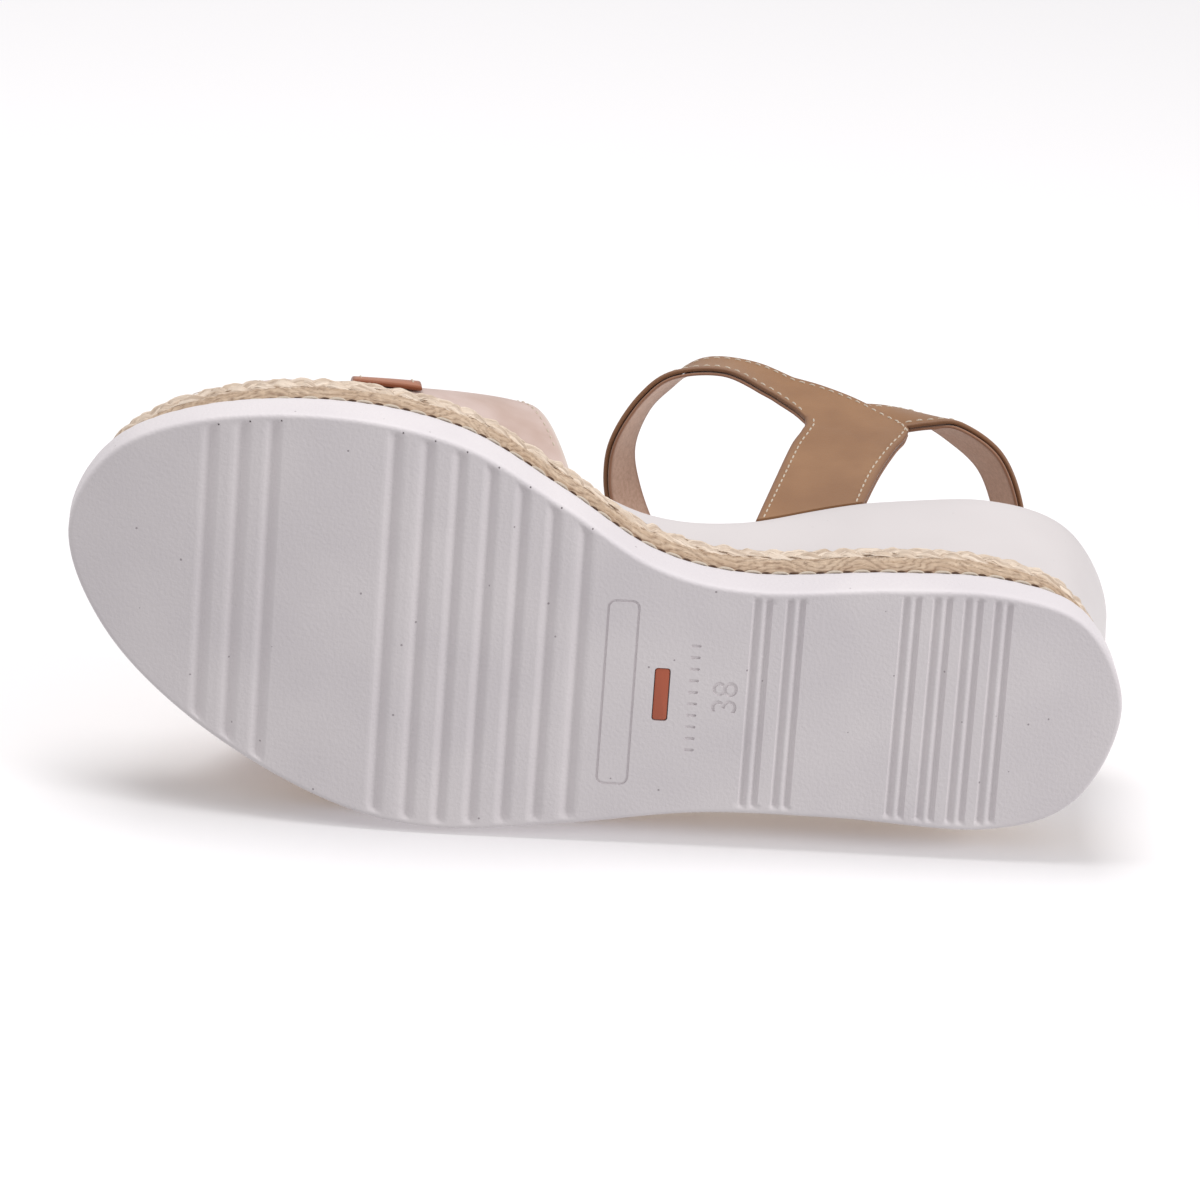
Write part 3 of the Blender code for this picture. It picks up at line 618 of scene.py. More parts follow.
def sole_field(inset, height, stations, rows, shape=None):
    """Grid from the medial to the lateral edge; `shape(x, t, width)` adds height to it."""
    medial, lateral = rim_sides(inset)
    x = medial[0, 0] + (medial[-1, 0] - medial[0, 0]) * stations
    t = (1 - np.cos(np.pi * np.linspace(0, 1, rows))) / 2
    low, high = np.interp(x, *medial.T)[:, None], np.interp(x, *lateral.T)[:, None]
    grid = np.zeros((len(x), rows, 3))
    grid[..., 0] = x[:, None]
    grid[..., 1] = low + (high - low) * t
    grid[..., 2] = height(x)[:, None]
    if shape is not None:
        grid[..., 2] += shape(grid[..., 0], t[None] + 0 * low, high - low)
    return grid


def ring_stack(rings):
    """Points and faces of rings laid one on another, with each ring closed on itself."""
    points = np.vstack(rings)
    return points, grid_faces(len(rings), len(rings[0]), wrap_rows=True)


def needle_dips(ring, depth, reach=1.0):
    """Lower a ring where the seam's needle holes are, one every stitch pitch."""
    run = run_length(np.vstack([ring, ring[:1]]))
    count = round(run[-1] / STITCH_PITCH)
    phase = (run[:-1] / run[-1] * count) % 1.0 - 0.5
    ring[:, 2] -= depth * np.exp(-(phase * run[-1] / count / reach) ** 2)
    return ring


def make_outsole():
    """Tread field, bevel, side wall and a hidden top."""
    medial, _ = rim_sides(BEVEL_WIDTH)
    stations = groove_stations(medial[0, 0], medial[-1, 0])
    relief_shape = lambda x, t, width: groove_depth(x, np.minimum(t, 1 - t) * width)
    field = sole_field(BEVEL_WIDTH, tread_z, stations, 41, relief_shape)
    rings = [sole_ring(inset, raised(tread_z, rise), stations) for inset, rise in WALL_PROFILE]
    for share in (0.35, 0.55, 0.75, 0.88):
        level = lambda x, share=share: (
            tread_z(x) + WALL_START + (foxing_height(x) + lip_lift(x) - WALL_START) * share)
        rings.append(sole_ring(0.0, level, stations))
    rings += [needle_dips(sole_ring(inset, raised(lip_z, drop), stations), dip)
              for inset, drop, dip in ((0.05, -0.35, 0.3), (0.3, 0.0, 0.6), (0.75, 0.1, 0.8))]
    rings.append(sole_ring(1.9, raised(lip_z, -0.1), stations))
    top = sole_field(1.9, raised(lip_z, -0.1), stations, 3)
    points, faces = joined([(field.reshape(-1, 3), grid_faces(len(stations), 41)), ring_stack(rings),
                            (top.reshape(-1, 3), grid_faces(len(stations), 3))])
    return add_piece("outsole_moulding", points, faces, TREAD_WHITE, stands_for=["outsole"], sharp=50)


OUTSOLE = make_outsole()
print("outsole has", len(OUTSOLE.data.polygons), "faces")

# %% [markdown]
# The label area keeps only generic marks: a blank frame, a row of dashes and the size number. They
# are cut into the tread with a Boolean, as the mould would leave them.

# %% Marks cut into the tread
MARK_DEPTH = 0.35
LABEL_Y, FRAME_X, INLAY_X, DASH_X, NUMBER_X = 14.0, 6.0, 16.5, 24.2, 32.3
CUTTER_LOW, INLAY_RECESS, NUMBER_HALF = -1.0, 1.4, 0.5


def rounded_box(cx, cy, sx, sy, radius, steps=5):
    """Outline of a rectangle with round corners, counterclockwise."""
    corners = []
    for ux, uy, turn in ((1, 1, 0), (-1, 1, 90), (-1, -1, 180), (1, -1, 270)):
        angle = np.radians(turn + np.linspace(0, 90, steps))
        corners.append(np.stack([cx + ux * (sx / 2 - radius) + radius * np.cos(angle),
                                 cy + uy * (sy / 2 - radius) + radius * np.sin(angle)], axis=1))
    return np.vstack(corners)


def prism(outline, low, high):
    """Straight-sided solid from an outline, as points and faces."""
    n = len(outline)
    points = np.vstack([np.column_stack([outline, np.full(n, z)]) for z in (low, high)])
    faces = [list(f) for f in grid_faces(2, n, wrap_rows=True)]
    return points, faces + [list(range(n))[::-1], list(range(n, 2 * n))]


def frame_prism(outer, inner, low, high):
    """Hollow straight-sided frame between two outlines with the same number of points."""
    rings = [np.column_stack([o, np.full(len(o), z)]) for o, z in
             ((outer, low), (outer, high), (inner, high), (inner, low))]
    return np.vstack(rings), grid_faces(4, len(outer), wrap_columns=True, wrap_rows=True)


def cut_marks(target):
    """Cut the frame, the dashes, the inlay's recess and the number into the tread."""
    parts = [frame_prism(rounded_box(FRAME_X, LABEL_Y, 8.0, 48.0, 2.0),
                         rounded_box(FRAME_X, LABEL_Y, 6.8, 46.8, 1.4), CUTTER_LOW, MARK_DEPTH)]
    parts += [prism(rounded_box(DASH_X, y, 2.4, 0.7, 0.3), CUTTER_LOW, MARK_DEPTH)
              for y in np.linspace(1.0, 28.0, 10)]
    parts.append(prism(rounded_box(INLAY_X, LABEL_Y, 3.9, 13.7, 0.8), CUTTER_LOW, INLAY_RECESS))
    for x in TOE_GROOVES + FOREFOOT_GROOVES:
        y = float(width_at(1.55, x)[0])
        parts.append(prism(rounded_box(x + 1.5, y, 0.4, 0.5, 0.18), CUTTER_LOW,
                           float(tread_z(x)) + 0.7))
    points, faces = joined(parts)
    cutter = add_piece("mark_cutter", points, faces, TREAD_WHITE, body=None)
    curve = bpy.data.curves.new("size_number", 'FONT')
    curve.body, curve.size, curve.extrude = "38", 8.8 * MM, NUMBER_HALF * MM
    curve.align_x, curve.align_y = 'CENTER', 'CENTER'
    number = bpy.data.objects.new("size_number", curve)
    bpy.context.scene.collection.objects.link(number)
    bpy.context.view_layer.update()
    digits = bpy.data.meshes.new_from_object(number)
    place = ((Vector((NUMBER_X, LABEL_Y, 0.0)) + Vector(SHIFT)) * MM
             + Vector((0, 0, MARK_DEPTH * MM - NUMBER_HALF * MM)))
    digits.transform(Matrix.Translation(place) @ Matrix.Rotation(math.radians(-90), 4, 'Z')
                     @ Matrix.Rotation(math.radians(180), 4, 'X'))
    bpy.data.objects.remove(number)
    digit_cutter = bpy.data.objects.new("digit_cutter", digits)
    bpy.context.scene.collection.objects.link(digit_cutter)
    for tool in (cutter, digit_cutter):
        modifier = target.modifiers.new("marks", 'BOOLEAN')
        modifier.operation, modifier.solver, modifier.object = 'DIFFERENCE', 'EXACT', tool
    freeze(target, 50)
    bpy.data.objects.remove(cutter)
    bpy.data.objects.remove(digit_cutter)


def freeze(piece, sharp=40.0):
    """Apply a piece's modifiers and keep its material and shading."""
    bpy.context.view_layer.update()
    seen = piece.evaluated_get(bpy.context.evaluated_depsgraph_get())
    mesh = bpy.data.meshes.new_from_object(seen, preserve_all_data_layers=True,
                                           depsgraph=bpy.context.evaluated_depsgraph_get())
    piece.modifiers.clear()
    piece.data = mesh
    mesh.shade_smooth()
    mesh.set_sharp_from_angle(angle=math.radians(sharp))


cut_marks(OUTSOLE)
INLAY_PLUG = add_piece("tread_inlay", *prism(rounded_box(INLAY_X, LABEL_Y, 3.5, 13.3, 0.7), 0.12, 1.2),
                       INLAY, stands_for=["sole_inlay"])
bevel = INLAY_PLUG.modifiers.new("soft_edge", 'BEVEL')
bevel.width, bevel.segments, bevel.limit_method = 0.25 * MM, 2, 'ANGLE'
freeze(INLAY_PLUG)
print("marked outsole has", len(OUTSOLE.data.polygons), "faces")

# %% [markdown]
# The straw band has two tiers. The lower one is a roll of strands that run along, pinched by thin
# whipping threads. The upper one is a flat plait of three strands, which pass over and under each
# other. Both are tubes swept round the outline, and the plait's strands swing as two sine waves.

# %% Paths round the sole, and the straw band
BAND_INSET = raised(braid_inset, band_shift)


def tuck(x):
    """How far the band and its seam draw in at the two tips of the sole."""
    return np.maximum(band_shift(x), 0)


def hoop_path(inset, height, count):
    """Closed path round the sole, its outward direction and its distance run."""
    loop = moved_rim(inset)
    line = even_steps(np.vstack([loop, loop[:1]]), count + 1)
    run = run_length(line)
    along = np.roll(line[:-1], -1, axis=0) - np.roll(line[:-1], 1, axis=0)
    along /= np.linalg.norm(along, axis=1)[:, None]
    outward = np.stack([along[:, 1], -along[:, 0]], axis=1)
    path = np.column_stack([line[:-1], height(line[:-1, 0])])
    zero = np.zeros(count)
    return path, np.column_stack([outward, zero]), np.column_stack([along, zero]), run


def rng_waves(run, total, seed, cycles=(3, 40)):
    """Smooth random wave that closes on itself: a sum of a few whole-number harmonics."""
    rng = np.random.default_rng(seed)
    wave = np.zeros_like(run)
    for _ in range(9):
        k = rng.integers(*cycles)
        wave += rng.normal() * np.sin(2 * np.pi * (k * run / total + rng.random()))
    return wave / 3.0


def fibre_noise(rng, shape, reach, axis):
    """Random values smoothed along one axis of a closed grid, scaled to about one."""
    raw = rng.normal(size=shape)
    smooth = sum(np.roll(raw, k, axis=axis) for k in range(-reach, reach + 1))
    return smooth / math.sqrt(2 * reach + 1)


def make_wrapped_roll():
    """Lower tier: superellipse section of strands that run along, held by thin whipping threads."""
    count, around, strands, threads = 1700, 54, 9, 210
    low = raised(lip_z, -0.2)
    high = lambda x: foxing_z(x) + 0.55 * braid_height(x) + plait_lift(x)
    middle = lambda x: (low(x) + high(x)) / 2
    path, out, _, run = hoop_path(raised(BAND_INSET, 0.55), middle, count)
    total, s = run[-1], run[:-1, None]
    rng = np.random.default_rng(12)
    phi = np.linspace(0, 2 * np.pi, around, endpoint=False)[None]
    half = ((high(path[:, 0]) - low(path[:, 0])) / 2)[:, None]
    a = 1.75 * np.sign(np.cos(phi)) * np.abs(np.cos(phi)) ** 0.75
    b = half * np.sign(np.sin(phi)) * np.abs(np.sin(phi)) ** 0.8
    drift = 1.3 * rng_waves(s, total, 5) + 0.25 * rng_waves(s + 2 * b, total, 8, (20, 130))
    ridge = np.abs(np.sin(strands * phi / 2 + np.pi * drift))
    place = s / total * threads + 0.18 * b / half + 0.15 * rng_waves(s, total, 5)
    thread_mask = np.exp(-((place % 1 - 0.5) / 0.12) ** 2)
    rough = fibre_noise(rng, (count, around), 6, 1)
    swell = 1 - 0.15 * (1 - ridge ** 0.6) - 0.06 * thread_mask + 0.03 * rough
    swell += 0.06 * rng_waves(s + 3 * b, total, 8, (20, 130))
    points = path[:, None] + out[:, None] * (a * swell)[..., None]
    points[..., 2] += b * (1 + 0.3 * (swell - 1))
    uv = np.stack([s + 0 * b, b + 0 * s], axis=-1).reshape(-1, 2)
    # Painted shade between the strands and towards the roll's lower edge, where it meets the wall; the
    # cream whipping threads stay lighter than the straw, which is their own colour.
    painted_shade_and_thread = (1 - ridge) ** 2 * 0.6 + 0.14 * (1 - thread_mask) + 0.35 * np.clip(-b / half, 0, 1) ** 3
    painted_shade_and_thread = np.clip(painted_shade_and_thread, 0, 1)
    return add_piece("raffia_wrapped_roll", points.reshape(-1, 3),
                     grid_faces(count, around, True, True), STRAW_ROLL,
                     stands_for=["raffia_braid_lower"], uv=uv, marks={"painted_shade_and_thread": painted_shade_and_thread}, sharp=80)


def make_plait():
    """Upper tier: three flat strands, each up and down once per cycle and in and out twice."""
    count, around, strands = 1700, 16, 3
    middle = lambda x: foxing_z(x) + 0.74 * braid_height(x) + plait_lift(x)
    path, out, along, run = hoop_path(raised(BAND_INSET, 0.1), middle, count)
    total, s = run[-1], run[:-1, None]
    cycles = round(total / 18.0)
    phi = np.linspace(0, 2 * np.pi, around, endpoint=False)[None]
    parts, flows, plait_shades = [], [], []
    rng = np.random.default_rng(21)
    for k in range(strands):
        turn = 2 * np.pi * (s / total * cycles + k / strands) + 0.45 * rng_waves(s, total, 70 + k)
        lift, swing = 1.7 * np.sin(turn), 0.45 * np.sin(2 * turn + 0.5)
        slope = np.arctan(1.7 * np.cos(turn) * 2 * np.pi * cycles / total)
        loose = 0.15 * rng_waves(s, total, 30 + k, (60, 220))
        wide = 2.1 * np.sin(phi) * (1 + 0.07 * rng_waves(s, total, 50 + k, (30, 90)))
        ribs = np.abs(np.sin(3.2 * phi + 0.4 * rng_waves(s, total, 90 + k)))
        thick = (0.75 * np.cos(phi) * (1 + 0.4 * ribs)
                 + 0.09 * fibre_noise(rng, (count, around), 4, 0))
        across = np.stack([np.zeros_like(slope), np.cos(slope), -np.sin(slope)], axis=-1)
        points = path[:, None] + out[:, None] * (swing + loose + thick)[..., None]
        points[..., 2] += lift + wide * across[..., 1]
        points += along[:, None] * (wide * across[..., 2])[..., None]
        parts.append((points.reshape(-1, 3), grid_faces(count, around, True, True)))
        flows.append(np.stack([s + 0 * phi, 2.2 * np.sin(phi) + 9.0 * k + rng.random() + 0 * s],
                              axis=-1).reshape(-1, 2))
        # Painted shade where a strand swings in under its neighbours and between its ribs.
        plait_shades.append(np.clip(np.clip(-swing - 0.2, 0, 0.4) * 1.5 + 0.55 * (1 - ribs) ** 2
                             - 0.1 + 0 * phi, 0, 1).ravel())
    points, faces = joined(parts)
    return add_piece("raffia_plait", points, faces, STRAW_PLAIT,
                     stands_for=["raffia_braid_upper"], uv=np.vstack(flows),
                     marks={"painted_shade_and_thread": np.concatenate(plait_shades)}, sharp=80)


def make_loose_straws(number=260, rings=8, sides=5):
    """Thin straws that lie askew on the band: gentle arcs whose ends tuck in."""
    path, out, _, run = hoop_path(raised(BAND_INSET, -0.55),
                                  lambda x: foxing_z(x) + 0.6 * plait_lift(x), 1600)
    rng = np.random.default_rng(4)
    u = np.linspace(-0.5, 0.5, rings)[None]
    start = rng.random((number, 1)) * run[-1]
    length = 6.0 + 9.0 * rng.random((number, 1))
    share = 0.3 + 0.62 * rng.random((number, 1))
    tilt = rng.normal(size=(number, 1)) * 1.3
    where = (start + u * length) % run[-1]
    pick = lambda values: np.stack([np.interp(where, run[:-1], values[:, k]) for k in range(3)],
                                   axis=-1)
    centre, side = pick(path), pick(out)
    centre[..., 2] += braid_height(centre[..., 0]) * share + tilt * 2 * u
    centre += side * (0.15 + 0.25 * rng.random((number, 1)) - 3.0 * u**2)[..., None]
    phi = np.linspace(0, 2 * np.pi, sides, endpoint=False)
    girth = (0.2 + 0.16 * rng.random((number, 1))) * (1 - 1.2 * np.abs(u))
    points = (centre[:, :, None] + side[:, :, None] * (0.6 * girth[..., None] * np.cos(phi))[..., None])
    points[..., 2] += girth[..., None] * np.sin(phi) * 1.3
    flow = np.stack(np.broadcast_arrays(where[:, :, None],
                                        phi[None, None] * 0.3 + 5.0 * share[..., None]), axis=-1)
    piece = add_piece("raffia_loose_straws", points.reshape(-1, 3), tube_faces(number, rings, sides),
                      STRAW_PLAIT, uv=flow.reshape(-1, 2),
                      marks={"painted_shade_and_thread": np.zeros(number * rings * sides)})
    return piece


LOOSE = make_loose_straws()
ROLL, PLAIT = make_wrapped_roll(), make_plait()
print("straw band:", len(ROLL.data.polygons), "and", len(PLAIT.data.polygons), "faces")

# %% [markdown]
# Stitches are short fat dashes of thread that dive into the material at both ends. One function
# lays them along any line: each dash is a small tube whose middle stands proud and whose ends sink.

# %% Stitches along a line
SEAM_STEPS = 1800


def stitch_row(line, normals, pitch, length, radius, sink=0.35, rings=5, sides=6, closed=False):
    """Points, faces and flow of the dashes along a polyline with surface normals."""
    if closed:
        line, normals = np.vstack([line, line[:1]]), np.vstack([normals, normals[:1]])
    run = run_length(line)
    count = max(1, round(run[-1] / pitch))
    step = run[-1] / count
    u = np.linspace(-0.5, 0.5, rings)
    where = (np.arange(count)[:, None] + 0.5) * step + u[None] * length
    spot = np.stack([np.interp(where, run, line[:, k]) for k in range(3)], axis=-1)
    up = np.stack([np.interp(where, run, normals[:, k]) for k in range(3)], axis=-1)
    along = np.gradient(spot, axis=1)
    along /= np.linalg.norm(along, axis=-1, keepdims=True)
    side = np.cross(up, along)
    girth = radius * np.sqrt(np.clip(1 - (1.92 * u) ** 2, 0.02, 1))
    centre = spot + up * (radius * 0.35 - sink * (2 * np.abs(u)) ** 3)[None, :, None]
    phi = np.linspace(0, 2 * np.pi, sides, endpoint=False)
    points = (centre[:, :, None] + side[:, :, None] * (girth[:, None] * np.cos(phi))[None, ..., None]
              + up[:, :, None] * (girth[:, None] * np.sin(phi))[None, ..., None])
    flow = np.stack(np.broadcast_arrays(where[:, :, None] * 6, phi[None, None] * 1.0), axis=-1)
    return points.reshape(-1, 3), tube_faces(count, rings, sides), flow.reshape(-1, 2)


def make_sole_seam():
    """Thread over the wall's top edge, and dark dashes of painted shade in the holes it dives into
    between the dashes.
    """
    path, out, _, run = hoop_path(raised(tuck, -0.12), raised(lip_z, -0.1), SEAM_STEPS)
    up = out * 0.97 + np.array([0, 0, 0.24])
    half = round(0.5 * STITCH_PITCH / run[-1] * SEAM_STEPS)
    points, faces, flow = stitch_row(np.roll(path, half, axis=0), np.roll(up, half, axis=0),
                                     STITCH_PITCH, 4.9, 0.34, sink=0.6, rings=9, sides=8, closed=True)
    stitches = add_piece("sole_seam_stitches", points, faces, SOLE_THREAD,
                         stands_for=["sole_seam_thread"], uv=flow)
    # Painted shade: short dark tubes where the needle holes are.
    path, out, _, _ = hoop_path(raised(tuck, 0.22), raised(lip_z, -0.05), SEAM_STEPS)
    points, faces, flow = stitch_row(path, out, STITCH_PITCH, 2.3, 0.45, sink=0.1, rings=7, sides=8,
                                     closed=True)
    holes = add_piece("sole_seam_hole_shade", points, faces, HOLE_SHADE)
    return stitches, holes


SEAM, SEAM_HOLE_SHADE = make_sole_seam()
print("sole seam has", len(SEAM.data.polygons), "faces")

# %% [markdown]
# The wedge is a smooth moulded block with a wrapped, slightly rounded upper edge. Its rings blend
# from the top of the straw to the edge of the footbed.

# %% Wedge block
WEDGE_FRONT, WEDGE_FOOT_INSET, WEDGE_STEPS = -24.0, 1.6, 240


def wedge_ring(inset, height):
    """Ring from the wedge's front tip to the heel and back; its ends lie close at the tip."""
    medial, lateral = rim_sides(inset)
    s = (1 - np.cos(np.pi * (np.arange(WEDGE_STEPS) + 0.5) / WEDGE_STEPS)) / 2
    x = WEDGE_FRONT + (medial[-1, 0] - WEDGE_FRONT) * s
    sides = [np.stack([x, np.interp(x, *side.T), height(x)], axis=1) for side in (medial, lateral)]
    return np.vstack([sides[0], sides[1][::-1]])


def make_wedge():
    """Rings from the straw up to the deck, flaring to the footbed's outline."""
    rings = []
    for share in np.linspace(0, 1, 9):
        inset = lambda x, share=share: WEDGE_FOOT_INSET + (footbed_inset(x) - WEDGE_FOOT_INSET) * (
            0.2 * share + 0.8 * share**1.3)
        level = lambda x, share=share: (braid_z(x) + 2 * GAP) * (1 - share) + (deck_z(x) - 0.9) * share
        rings.append(wedge_ring(inset, level))
    rings += [wedge_ring(raised(footbed_inset, 0.06), raised(deck_z, -0.5)),
              wedge_ring(raised(footbed_inset, 0.3), raised(deck_z, -0.15)),
              wedge_ring(raised(footbed_inset, 0.8), deck_z)]
    points, faces = ring_stack(rings)
    n = len(rings[0])
    strips = lambda base: [(base + i, base + i + 1, base + n - 2 - i, base + n - 1 - i)
                           for i in range(n // 2 - 1)]
    faces = [list(f) for f in faces] + strips(0) + strips((len(rings) - 1) * n)
    return add_piece("wedge_cover", points, faces, WEDGE_WHITE, stands_for=["wedge_block"], sharp=50)


WEDGE = make_wedge()
print("wedge has", len(WEDGE.data.polygons), "faces")

# %% [markdown]
# The footbed is foam under a sock of soft leather that wraps over its edge. It is a pad, so it is
# crowned: a little higher under the arch, a shallow cup at the heel, and a rounded rim.

# %% Padded footbed
FOOTBED_BASE = GAP + 1.8 + GAP
FOOTBED_THICKNESS = 4.0


def footbed_shape(x, t, width):
    """Crown of the pad: rounded rim, shallow heel cup and a slight arch on the medial side."""
    middle = 4 * t * (1 - t)
    cup = -0.9 * np.exp(-((x - 95) / 26) ** 2) * middle ** 1.5
    arch = 0.7 * np.exp(-((x - 10) / 30) ** 2) * np.exp(-((t - 0.2) / 0.2) ** 2)
    ball = -0.5 * np.exp(-((x + 62) / 24) ** 2) * middle ** 1.5
    return 0.35 * middle ** 0.5 + cup + arch + ball


def make_footbed():
    """Side rings that bulge a little, and a crowned field on top."""
    inside = raised(footbed_inset, 4.0)
    stations = (1 - np.cos(np.pi * np.linspace(0, 1, 201))) / 2
    base = raised(deck_z, FOOTBED_BASE)
    profile = [(1.2, 0.0), (0.3, 0.05), (0.0, 0.5), (-0.12, 1.4), (-0.1, 2.4), (0.15, 3.2),
               (0.6, 3.7), (1.3, FOOTBED_THICKNESS)]
    rings = [sole_ring(raised(inside, inset), raised(base, rise), stations) for inset, rise in profile]
    top = sole_field(raised(inside, 1.3), raised(base, FOOTBED_THICKNESS), stations, 41, footbed_shape)
    low = sole_field(raised(inside, 1.2), base, stations, 3)
    points, faces = joined([ring_stack(rings), (top.reshape(-1, 3), grid_faces(len(stations), 41)),
                            (low.reshape(-1, 3), grid_faces(len(stations), 3))])
    bed = add_piece("sock_footbed", points, faces, SOCK, stands_for=["sock_lining", "footbed_foam"],
                    sharp=60)
    return bed


def make_footbed_stitches():
    """A row of thread round the sock, a little in from its edge."""
    inset = raised(footbed_inset, 8.5)
    stations = np.linspace(0.004, 0.996, 500)
    ring = sole_ring(inset, raised(deck_z, FOOTBED_BASE + FOOTBED_THICKNESS + 0.3), stations)
    up = np.tile([0.0, 0.0, 1.0], (len(ring), 1))
    points, faces, flow = stitch_row(ring, up, 4.0, 2.9, 0.3, closed=True)
    row = add_piece("sock_stitches", points, faces, CREAM_THREAD, uv=flow)
    return row


FOOTBED, SOCK_ROW = make_footbed(), make_footbed_stitches()
print("footbed top at the heel:", round(float(deck_z(95)) + FOOTBED_BASE + FOOTBED_THICKNESS, 1), "mm")

# %% [markdown]
# A leather part is a grid of points on the foot's shape. Two offsets of the grid are its faces, and
# they close in on each other at the border, as a skived and folded edge does. The distance to the
# border also makes an attribute, which tints the fold.

# %% Leather sheets
LEATHER, LINING_THICKNESS = 1.2, 0.8
LINING_LEVEL = -GAP - LINING_THICKNESS
FOOT_CENTRE = np.array([30.0, 8.0, 60.0])


def surface_normals(grid):
    """Unit normals on the side away from the foot."""
    normal = np.cross(np.gradient(grid, axis=0), np.gradient(grid, axis=1))
    normal /= np.linalg.norm(normal, axis=2)[..., None]
    return normal * math.copysign(1.0, np.sum(normal * (grid - FOOT_CENTRE), axis=2).mean())


ALL_FREE = (True, True, True, True)


def denser_border(grid, free, reach):
    """Add lines close to each free border (start, end, low, high), so that it can be rounded."""
    for axis, (first, last) in enumerate((free[:2], free[2:])):
        step = np.linalg.norm(np.diff(grid, axis=axis), axis=2).mean()
        extra = reach / step * np.array([0.1, 0.4, 1.0])
        extra, end = extra[extra < 0.95], grid.shape[axis] - 1
        at = np.sort(np.concatenate([np.arange(end + 1), extra if first else [],
                                     end - extra if last else []]))
        low = np.minimum(at.astype(int), end - 1)
        part = (at - low).reshape((-1, 1, 1) if axis == 0 else (1, -1, 1))
        grid = np.take(grid, low, axis=axis) * (1 - part) + np.take(grid, low + 1, axis=axis) * part
    return grid


def border_distance(grid, free, corner=None):
    """Distance to the nearest free border; the low border is free only after the corner."""
    columns = np.linalg.norm(np.diff(grid, axis=0), axis=2)
    rows = np.linalg.norm(np.diff(grid, axis=1), axis=2)
    from_start = np.concatenate([np.zeros((1, grid.shape[1])), np.cumsum(columns, axis=0)])
    from_low = np.concatenate([np.zeros((grid.shape[0], 1)), np.cumsum(rows, axis=1)], axis=1)
    from_high = from_low[:, -1:] - from_low
    if corner is not None:
        before = int(np.argmin(np.linalg.norm(grid[:, 0] - corner, axis=1)))
        from_low[:before] = np.linalg.norm(grid[:before] - corner, axis=2)
    options = [from_start, from_start[-1:] - from_start, from_low, from_high]
    return np.min([d for d, is_free in zip(options, free) if is_free], axis=0)


def sheet(name, grid, inner, outer, material, body, stands_for=(), free=ALL_FREE, corner=None,
          round_edge=0.5, edge_width=1.0):
    """Closed sheet between two offsets of the grid, thinner towards its free borders."""
    grid = denser_border(grid, free, round_edge)
    normal = surface_normals(grid)
    columns, rows = grid.shape[:2]
    count = columns * rows
    quads = grid_faces(columns, rows)
    rim = np.concatenate([np.arange(columns) * rows, (columns - 1) * rows + np.arange(1, rows),
                          np.arange(columns - 2, -1, -1) * rows + rows - 1, np.arange(rows - 2, 0, -1)])
    walls = np.stack([rim, np.roll(rim, -1), np.roll(rim, -1) + count, rim + count], axis=1)
    distance = border_distance(grid, free, corner)
    round_in = 1 - np.clip(distance / round_edge, 0, 1)
    girth = np.maximum(np.sqrt(1 - round_in ** 2), 0.3)[..., None]
    middle, half = (inner + outer) / 2, (outer - inner) / 2
    points = np.vstack([(grid + normal * (middle + sign * half * girth)).reshape(-1, 3)
                        for sign in (-1, 1)])
    faces = np.vstack([quads, quads[:, ::-1] + count, walls])
    edge = np.exp(-(distance / edge_width) ** 2).ravel()
    return add_piece(name, points, faces, material, body, stands_for,
                     marks={"edge": np.concatenate([edge, edge])}, sharp=75)


def line_on(grid, inner, offset, side):
    """A line on the surface a set distance in from one border, with its normals."""
    normal = surface_normals(grid)
    if side in ("low", "high"):
        rows = grid if side == "low" else grid[:, ::-1]
        ups = normal if side == "low" else normal[:, ::-1]
    else:
        rows = np.swapaxes(grid if side == "start" else grid[::-1], 0, 1)
        ups = np.swapaxes(normal if side == "start" else normal[::-1], 0, 1)
    run = np.concatenate([np.zeros((len(rows), 1)),
                          np.cumsum(np.linalg.norm(np.diff(rows, axis=1), axis=2), axis=1)], axis=1)
    line = np.array([[np.interp(inner, run[i], rows[i, :, k]) for k in range(3)]
                     for i in range(len(rows))])
    up = np.array([[np.interp(inner, run[i], ups[i, :, k]) for k in range(3)]
                   for i in range(len(rows))])
    up /= np.linalg.norm(up, axis=1)[:, None]
    return line + up * offset, up


def seam(name, grid, side, inner, body, offset=LEATHER):
    """A row of cream stitches in from one border; with no body the piece is hung on none."""
    line, up = line_on(grid, inner, offset, side)
    points, faces, flow = stitch_row(line, up, pitch=2.8, length=2.15, radius=0.24)
    row = add_piece(name, points, faces, CREAM_THREAD, body, uv=flow)
    return row


def lined_sheet(name, grid, material, upper, lining, free=ALL_FREE):
    """Outer leather and the lining under it, both fixed to the shoe."""
    sheet(name + "_upper", grid, 0.0, LEATHER, material, "shoe", [upper], free)
    sheet(name + "_inside", grid, LINING_LEVEL, -GAP, LINING, "shoe", [lining], free)


# %% [markdown]
# The vamp is an arch over the ball of the foot. Across the foot it is a superellipse: fuller than
# an ellipse, so that the sides stand up before they turn over. Its medial side leans out towards
# the arch of the foot.

# %% Vamp, its lining and seams
VAMP_FRONT = through([(0.0, -90.0), (0.25, -84.0), (0.5, -79.0), (0.75, -85.0), (1.0, -97.0)])
VAMP_REAR = through([(0.0, -7.5), (0.2, -18.0), (0.35, -27.0), (0.5, -33.0), (0.65, -31.0),
                     (0.8, -22.0), (1.0, -8.0)])
VAMP_CROWN = through([(-100, 24.0), (-70, 36.0), (-45, 46.0), (-25, 54.0), (0, 58.0)])
VAMP_FULLNESS = 2.6
MEDIAL_SWELL = through([(-100, 0.03), (-80, 0.08), (-66, 0.055), (-50, 0.07), (-35, 0.12),
                        (-18, 0.24), (0, 0.30)])
LATERAL_SWELL = 0.05
VAMP_STRAP_X = (-62.0, -45.0)


